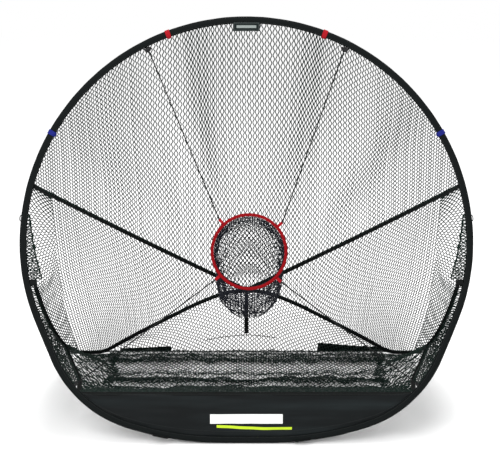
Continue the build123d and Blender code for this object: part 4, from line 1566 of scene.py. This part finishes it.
def apronFinish(name, printed):
    shader = Shader(name, **{"Specular IOR Level": 0.13})
    place = shader.coords()
    x, _, z = shader.axes(place)
    weave = (x * 5600).maths("SINE") * (z * 5600).maths("SINE") * 0.5 + 0.5
    cloud = shader.noise(place, 7.0, 5.0)
    tone = weave * 0.3 + cloud * 0.7
    # painted sheen: a noise of lighter streaks along the cloth, raised through the ramp below and added into the base
    # colour
    paintedSheenStreak = shader.noise(shader.scaled(place, (2.0, 9.0, 26.0)), 1.0, 3.0)
    light = shader.ramp(paintedSheenStreak, 0.0, 0.8, 0.45, 0.75)
    cloth = shader.mix(tone * 0.5 + light, rgb(0.0008, 0.0014, 0.0017), rgb(0.0085, 0.0125, 0.0135))
    if printed:
        wave = (x * 11.0 + 0.6).maths("SINE") * 0.005
        bar = x.within(*apron["bar"]) * z.within(*apron["barRise"])
        stripe = x.within(*apron["stripe"]) * (z + wave).within(*apron["stripeRise"])
        shade = shader.noise(place, 120.0, 2.0) * 0.12 + 0.88
        white = shader.mix(shade, rgb(0.6, 0.6, 0.6), rgb(0.86, 0.87, 0.86))
        lime = shader.mix(shade, rgb(0.3, 0.42, 0.01), rgb(0.52, 0.7, 0.03))
        cloth = shader.mix(stripe, shader.mix(bar, cloth, white), lime)
    shader.link(cloth, "Base Color")
    shader.link(shader.ramp(cloud, 0.38, 0.58), "Roughness")
    shader.bump(weave * 0.5 + cloud * 2.0, 0.3, 0.0006)
    return shader.material


finishes["apron"] = apronFinish("apronCloth", True)
finishes["apronBack"] = apronFinish("apronBack", False)
pieces["apron"] = clothGrid("apronCloth", apronRows, finishes["apron"], apron["thickness"])
pieces["apron"].data.materials.append(finishes["apronBack"])
for polygon in pieces["apron"].data.polygons:
    if polygon.normal.dot(planeBack) > 0.0:
        polygon.material_index = 1
pieces["apronHem"] = bandAlong(
    "apronHem", [p + planeBack * -0.0015 - planeUp * 0.006 for p in apronRows[-1][4:-4]],
    lambda i: planeUp, 0.012, 0.0016, finishes["webbing"])
print("apron made")


# ---- straps, tapes, bow sleeve, cords ----
tape = dict(width=0.016, thickness=0.0016, curl=0.001)
rearStrap = dict(length=0.2349, curl=0.0006, lift=0.0021)
rightwards = Vector((1, 0, 0))


def strapMiddle():
    start, end = strapTopPoint, hubFront - strapAlong * 0.012
    points = []
    for i in range(90):
        t = i / 89
        flutter = 0.0008 * noise.noise(Vector((t * 30, 0, 0)))
        sag = Vector((0, 0, -0.004 * 4 * t * (1 - t)))
        points.append(between(start, end, t) + sag + strapDown.cross(strapAlong) * flutter)
    return points


strapLineRight = strapMiddle()
pieces["sideStrapRight"] = bandAlong(
    "sideStrapRight", strapLineRight, lambda i: strapDown, strap["width"], strap["thickness"],
    finishes["webbing"], strap["curl"])
pieces["sideStrapLeft"] = mirrorPiece(pieces["sideStrapRight"], "sideStrapLeft")

tapeHalves = [between(a, b, 0.5) for a, b in ((tapeBow, tapeMid), (tapeMid, apronCorner))]
tapeLine = smoothLine([tapeBow, tapeHalves[0], tapeMid, tapeHalves[1], apronCorner], 0.012)


def tapeAcross(i):
    return (apronCorner - tapeBow).cross(Vector((0, 0, 1)))


pieces["sideTapeRight"] = bandAlong(
    "sideTapeRight", tapeLine, tapeAcross, tape["width"], tape["thickness"], finishes["webbing"],
    tape["curl"])
pieces["sideTapeLeft"] = mirrorPiece(pieces["sideTapeRight"], "sideTapeLeft")

bowStart = 0.03
bowHalfLine = [bowAt(bowStart + (bowLength - bowStart) * i / 260) for i in range(261)]
bowWhole = resample(bowHalfLine + [mirrored(p) for p in reversed(bowHalfLine[:-1])], 0.006)
pieces["bowSleeve"] = tube(
    "bowSleeve", bowWhole, sleeveRadius(bow["sleeveR"], 9.0, 0.06), finishes["bowSleeve"], 22)

patchLine = [hub + Vector((0.022 * (2 * i / 16 - 1), 0, 0)) for i in range(17)]
pieces["hubPatch"] = tube(
    "hubPatch", patchLine, sleeveRadius(hubPatch["radius"] * 0.98, 5.0, 0.03), finishes["webbing"], 28)

hemMid = behind(0, hem["back"], hem["z"])
rearDown = (hemMid - hub).normalized()
rearFront = rightwards.cross(rearDown).normalized()
if rearFront.y > 0:
    rearFront = -rearFront
rearStart = hub + rearDown * (hubPatch["radius"] - 0.0005) + rearFront * rearStrap["lift"]
rearLine = [rearStart + rearDown * (rearStrap["length"] * i / 40) for i in range(41)]
pieces["rearStrap"] = bandAlong(
    "rearStrap", rearLine, lambda i: rightwards, strap["width"], strap["thickness"], finishes["webbing"],
    rearStrap["curl"])

arch = dict(points=((-0.16, 0.074), (-0.09, 0.094), (0.0, 0.105), (0.06, 0.1), (0.116, 0.088)), front=0.006)
archBends = [hemMid - rearDown * up + rearFront * arch["front"] + rightwards * x for x, up in arch["points"]]
archLine = smoothLine(archBends, 0.004)
pieces["archedCord"] = tube("archedCord", archLine, 0.00148, finishes["cord"], 10)

hemEnds = ((0.578, 0.873), (0.532, hem["back"]), (0.4, hem["back"]))
hemRight = smoothLine([behind(x, back, hem["z"]) for x, back in hemEnds], 0.01)
hemPath = resample(hemRight + [hemMid] + [mirrored(p) for p in reversed(hemRight)], 0.008)
pieces["hemCord"] = tube("hemCord", hemPath, 0.00195, finishes["cord"], 10)

# cloth turned up over the hem cord at both ends
flap = dict(thickness=0.0014, foot=0.0006, behind=0.00355)


def flapPiece(name, outer, inner):
    back = hem["back"] + flap["behind"]
    rows = []
    for j in range(7):
        row = []
        for i in range(50):
            t = i / 49
            x = outer[0] + (inner[0] - outer[0]) * t
            top = (outer[1] + (inner[1] - outer[1]) * t) * (0.97 + 0.03 * math.sin(t * 9))
            z = flap["foot"] + (top - flap["foot"]) * j / 6
            wave = 0.0006 * noise.noise(Vector((x * 30, z * 60, 0)))
            row.append(behind(x, back + wave, z))
        rows.append(row)
    return clothGrid(name, rows, finishes["sleeve"], flap["thickness"])


pieces["footFlapLeft"] = flapPiece("footFlapLeft", (-0.509, 0.013), (-0.303, 0.022))
pieces["footFlapRight"] = flapPiece("footFlapRight", (0.568, 0.016), (0.287, 0.037))
print("straps made")


# ---- floor, backdrop and light ----
ground = bpy.data.meshes.new("ground")
ground.from_pydata([(-9, -6, 0), (9, -6, 0), (9, 12, 0), (-9, 12, 0)], [], [(0, 1, 2, 3)])
floor = bpy.data.objects.new("ground", ground)
bpy.context.collection.objects.link(floor)
paper = Shader("paper", Roughness=1.0)
paper.surface.inputs["Specular IOR Level"].default_value = 0.0
paper.surface.inputs["Base Color"].default_value = rgb(0.985, 0.985, 0.985)
ground.materials.append(paper.material)
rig.stage(floor)

world = bpy.data.worlds.new("world")
bpy.context.scene.world = world
world.use_nodes = True
world.node_tree.nodes["Background"].inputs[0].default_value = rgb(1, 1, 1)
world.node_tree.nodes["Background"].inputs[1].default_value = 1.0


def softBox(name, place, aim, size, power):
    lamp = bpy.data.lights.new(name, "AREA")
    lamp.shape, lamp.size, lamp.energy = "SQUARE", size, power
    made = bpy.data.objects.new(name, lamp)
    bpy.context.collection.objects.link(made)
    made.location = place
    made.rotation_euler = (Vector(aim) - Vector(place)).to_track_quat("-Z", "Y").to_euler()
    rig.stage(made)
    return made


softBox("keyLight", (-1.5, -3.0, 3.4), (0, 0, 0.6), 3.0, 90)
softBox("topLight", (1.0, 1.0, 5.0), (0, 0, 0), 4.0, 120)


# ---- stitching ----
def bandLine(points, acrossOf, offset, lift):
    # a line along a band, off its middle and above its face
    out = []
    for i, p in enumerate(points):
        ahead = (points[min(i + 1, len(points) - 1)] - points[max(i - 1, 0)]).normalized()
        wide = acrossOf(i)
        wide = (wide - ahead * wide.dot(ahead)).normalized()
        out.append(p + wide * offset + ahead.cross(wide) * lift)
    return out


def onSleeve(points, radius, turn, closed):
    c, s = math.cos(turn), math.sin(turn)
    out = []
    for p, (tangent, *_) in zip(points, frames(points, closed)):
        side = (planeBack - tangent * planeBack.dot(tangent)).normalized()
        out.append(p + (side * c + tangent.cross(side) * s) * radius)
    return out + out[:1] if closed else out


def bothFaces(points, acrossOf, offsets, lift):
    return [bandLine(points, acrossOf, o, l) for o in offsets for l in (-lift, lift)]


seamLine = onSleeve(hoopPoints, hoop["sleeveR"] * 1.04, 2.4, True)
hemRowsSewn = [
    [p - planeUp * down - planeBack * 0.0026 for p in apronRows[-1][6:-6]] for down in (0.0085, 0.0035)
]
footRow = [p - planeBack * 0.0013 for p in apronRows[5][6:-6]]
labelFrame = [labelRows[1][1], labelRows[1][-2], labelRows[-2][-2], labelRows[-2][1], labelRows[1][1]]
labelFrame = resample([p - planeBack * 0.0011 for p in labelFrame], 0.002)
pieces["frontStitches"] = stitchPiece(
    "frontStitches", [seamLine, *hemRowsSewn, footRow, labelFrame], finishes["thread"])


def boxCross(line, acrossOf, low, high, half, lift):
    # the box and cross at a strap's end
    def spot(i, offset):
        return bandLine(line, acrossOf, offset, lift)[i]

    corners = [spot(low, -half), spot(high, -half), spot(high, half), spot(low, half)]
    return [resample([a, b], 0.001) for a, b in zip(corners, corners[1:] + corners[:1])] + [
        resample([corners[0], corners[2]], 0.001), resample([corners[1], corners[3]], 0.001)]


strapRows = bothFaces(strapLineRight, lambda i: strapDown, (-0.0055, 0.0055), 0.0014)
strapRows += boxCross(strapLineRight, lambda i: strapDown, 1, 4, 0.0055, 0.0017)
strapRows += boxCross(strapLineRight, lambda i: strapDown, 1, 4, 0.0055, -0.0017)
pieces["strapStitchesRight"] = stitchPiece("strapStitchesRight", strapRows, finishes["thread"])
pieces["strapStitchesLeft"] = mirrorPiece(pieces["strapStitchesRight"], "strapStitchesLeft")
tapeRows = bothFaces(tapeLine, tapeAcross, (-0.006, 0.006), 0.0012)
pieces["tapeStitchesRight"] = stitchPiece("tapeStitchesRight", tapeRows, finishes["thread"])
pieces["tapeStitchesLeft"] = mirrorPiece(pieces["tapeStitchesRight"], "tapeStitchesLeft")
rearRows = bothFaces(rearLine, lambda i: rightwards, (-0.0055, 0.0055), 0.0013)
rearRows += boxCross(rearLine, lambda i: rightwards, 35, 39, 0.0055, 0.0016)
bowSeam = onSleeve(bowWhole, bow["sleeveR"] * 1.04, 2.2, False)
pieces["rearStitches"] = stitchPiece("rearStitches", rearRows + [bowSeam], finishes["thread"])
ringSeam = onSleeve(ringPoints, target["sleeveR"] * 0.91, 2.2, True)
pieces["ringStitches"] = stitchPiece(
    "ringStitches", [ringSeam], finishes["redThread"], 0.0032, 0.00035, 0.0024)
print("stitching made")


# ---- springs inside the cord locks ----
lockSpring = dict(
    wire=0.0004, radius=0.0034, turns=4, back=0.012, floor=0.002, tail=0.0032, fit=0.0002, travel=0.003,
)


def coilSpring(name, side):
    middle = upperHoop(side * cord["upper"], lockInset)
    along = (upperHoop(side * (cord["upper"] - 1), lockInset) - middle).normalized()
    near = lockSpring["wire"] + lockSpring["fit"]
    length = lockSpring["back"] - lockSpring["floor"] - lockSpring["tail"] - 2 * near
    base = middle + along * (lockSpring["floor"] - lockSpring["back"] + near)
    sideways = along.orthogonal().normalized()
    other = along.cross(sideways)
    points = []
    for i in range(161):
        a = math.tau * lockSpring["turns"] * i / 160
        out = (sideways * math.cos(a) + other * math.sin(a)) * lockSpring["radius"]
        points.append(base + along * (length * i / 160) + out)
    return tube(name, points, lockSpring["wire"], finishes["steel"], 8), base, along, length


springs = {}
for side, word in ((-1, "left"), (1, "right")):
    springs[word] = coilSpring(word + "LockSpring", side)


# ---- CAD nodes that keep their shape ----
kept = dict(
    plastic=("end_cap_left", "end_cap_right", "cord_lock_left", "cord_lock_right", "lock_button_left",
             "lock_button_right", "cord_clips", "cord_anchors"),
    glassFibre=("hoop_rod", "bow_rod", "target_rod"),
    steel=("hoop_ferrule",),
)
for finish, nodes in kept.items():
    for node in nodes:
        mesh = bpy.data.objects[node].data
        mesh.materials.clear()
        mesh.materials.append(finishes[finish])


# ---- moving with the frame ----
def given(slotName, replaced):
    # each piece with the CAD nodes it stands for and its slot
    for name, nodes in replaced.items():
        if nodes:
            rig.replaces(pieces[name], *nodes)
        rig.slot(pieces[name], slotName)
        yield pieces[name]


def rideOn(body, slotName, **replaced):
    for piece in given(slotName, replaced):
        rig.ride(piece, body)


def bendBetween(slotName, start, end, **replaced):
    for piece in given(slotName, replaced):
        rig.blend(piece, "front_frame", "rear_bow", start, end)


rideOn("front_frame", "black_cloth", hoopSleeve=["hoop_sleeve"], apron=["apron"], apronHem=[],
       frontStitches=[])
rideOn("front_frame", "label", topLabel=["top_label"])
rideOn("front_frame", "black_webbing", stakeLoops=["stake_loops"], bowPocketLeft=["bow_pocket_left"],
       bowPocketRight=["bow_pocket_right"])
rideOn("front_frame", "black_cord", sideLoopLeft=["side_loops"], sideLoopRight=[])
rideOn("front_frame", "red_cloth", redTabs=["red_tabs"])
rideOn("front_frame", "blue_webbing", blueTabs=["blue_tabs"])
rideOn("rear_bow", "black_cloth", bowSleeve=["bow_sleeve"], hubPatch=["hub_patch"],
       footFlapLeft=["foot_flap_left"], footFlapRight=["foot_flap_right"])
rideOn("rear_bow", "black_webbing", rearStrap=["rear_strap"], rearStitches=[])
rideOn("rear_bow", "black_cord", archedCord=["arched_cord"], hemCord=["hem_cord"])
rideOn("rear_bow", "netting", rearNet=["rear_net"])
rideOn("target", "red_cloth", targetSleeve=["target_sleeve"], targetTabs=["target_tabs"],
       ringStitches=[])
rideOn("target", "netting", pocketNet=["pocket_net", "pocket_base"])

bendStart = Vector((0, pivot.y, pivot.z))
upperEnd = bendStart + (planeBack * 0.5 - planeUp * 0.866) * 0.25
lowerStart = Vector((0, frontY, 0)) + planeBack * 0.004
lowerEnd = lowerStart + planeBack * 0.25
bendBetween("netting", bendStart, upperEnd, backNet=["back_net"],
            sideNetRight=["side_net_right", "rear_side_net_right"],
            sideNetLeft=["side_net_left", "rear_side_net_left"])
bendBetween("black_webbing", bendStart, upperEnd, sideStrapRight=["side_strap_right"],
            sideStrapLeft=["side_strap_left"], strapStitchesRight=[], strapStitchesLeft=[])
bendBetween("netting", lowerStart, lowerEnd, lowerNetRight=["lower_net_right"],
            lowerNetLeft=["lower_net_left"], floorNet=["floor_net"], slopeNet=[])
bendBetween("black_webbing", lowerStart, lowerEnd, sideTapeRight=["side_tape_right"],
            sideTapeLeft=["side_tape_left"], tapeStitchesRight=[], tapeStitchesLeft=[])

for word, (piece, base, along, length) in springs.items():
    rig.replaces(piece, "lock_spring_" + word)
    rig.slot(piece, "spring_wire")
    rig.ride(piece, "front_frame")
    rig.squash(piece, word + "_lock_press", along, base, (length - lockSpring["travel"]) / length)

for name, (piece, path) in cords.items():
    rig.replaces(piece, cordNodes[name])
    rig.slot(piece, "black_cord")
    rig.blend(piece, "front_frame", "target", path[-1], path[0])


# ---- cords and cloth, declared ----
def lengthOf(points):
    return sum((b - a).length for a, b in zip(points, points[1:]))


def sheetArea(rows):
    area = 0.0
    for low, high in zip(rows, rows[1:]):
        for a, b, c, d in zip(low, low[1:], high[1:], high):
            area += ((b - a).cross(d - a).length + (b - c).cross(d - c).length) / 2
    return area


for name, (piece, path) in cords.items():
    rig.cord(piece, path[0], lengthOf(path), 2 * cord["shown"], "object", "medium", "taut", path)
for name, path in loops.items():
    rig.cord(pieces[name], path[0], lengthOf(path), 2 * loop["string"], "object", "medium", "loose", path)
for name, path, thickness, lies in (
        ("archedCord", archLine, 0.003, "loose"), ("hemCord", hemPath, hem["thickness"], "taut")):
    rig.cord(pieces[name], path[0], lengthOf(path), thickness, "object", "medium", lies, path)

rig.sheet(pieces["apron"], apron["flat"], "stretched", ["hoopSleeve"], area=sheetArea(apronRows),
         with_pieces=[pieces["apronHem"]])
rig.sheet(pieces["topLabel"], (label["width"], label["height"]), "hung", ["hoopSleeve"])
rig.sheet(pieces["footFlapLeft"], (0.206, 0.022), "hung", ["hemCord"])
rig.sheet(pieces["footFlapRight"], (0.281, 0.037), "hung", ["hemCord"])
for name, line, width in (
        ("sideStrap", strapLineRight, strap["width"]), ("sideTape", tapeLine, tape["width"])):
    for word in ("Right", "Left"):
        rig.sheet(pieces[name + word], (width, lengthOf(line)), "stretched", ["hoopSleeve"])
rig.sheet(pieces["rearStrap"], (strap["width"], lengthOf(rearLine)), "stretched", ["hubPatch"])

visualLow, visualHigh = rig.bounds()
with open("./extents.json", "w") as out:
    json.dump(dict(cad=[list(cadLow), list(cadHigh)], visual=[list(visualLow), list(visualHigh)]), out)
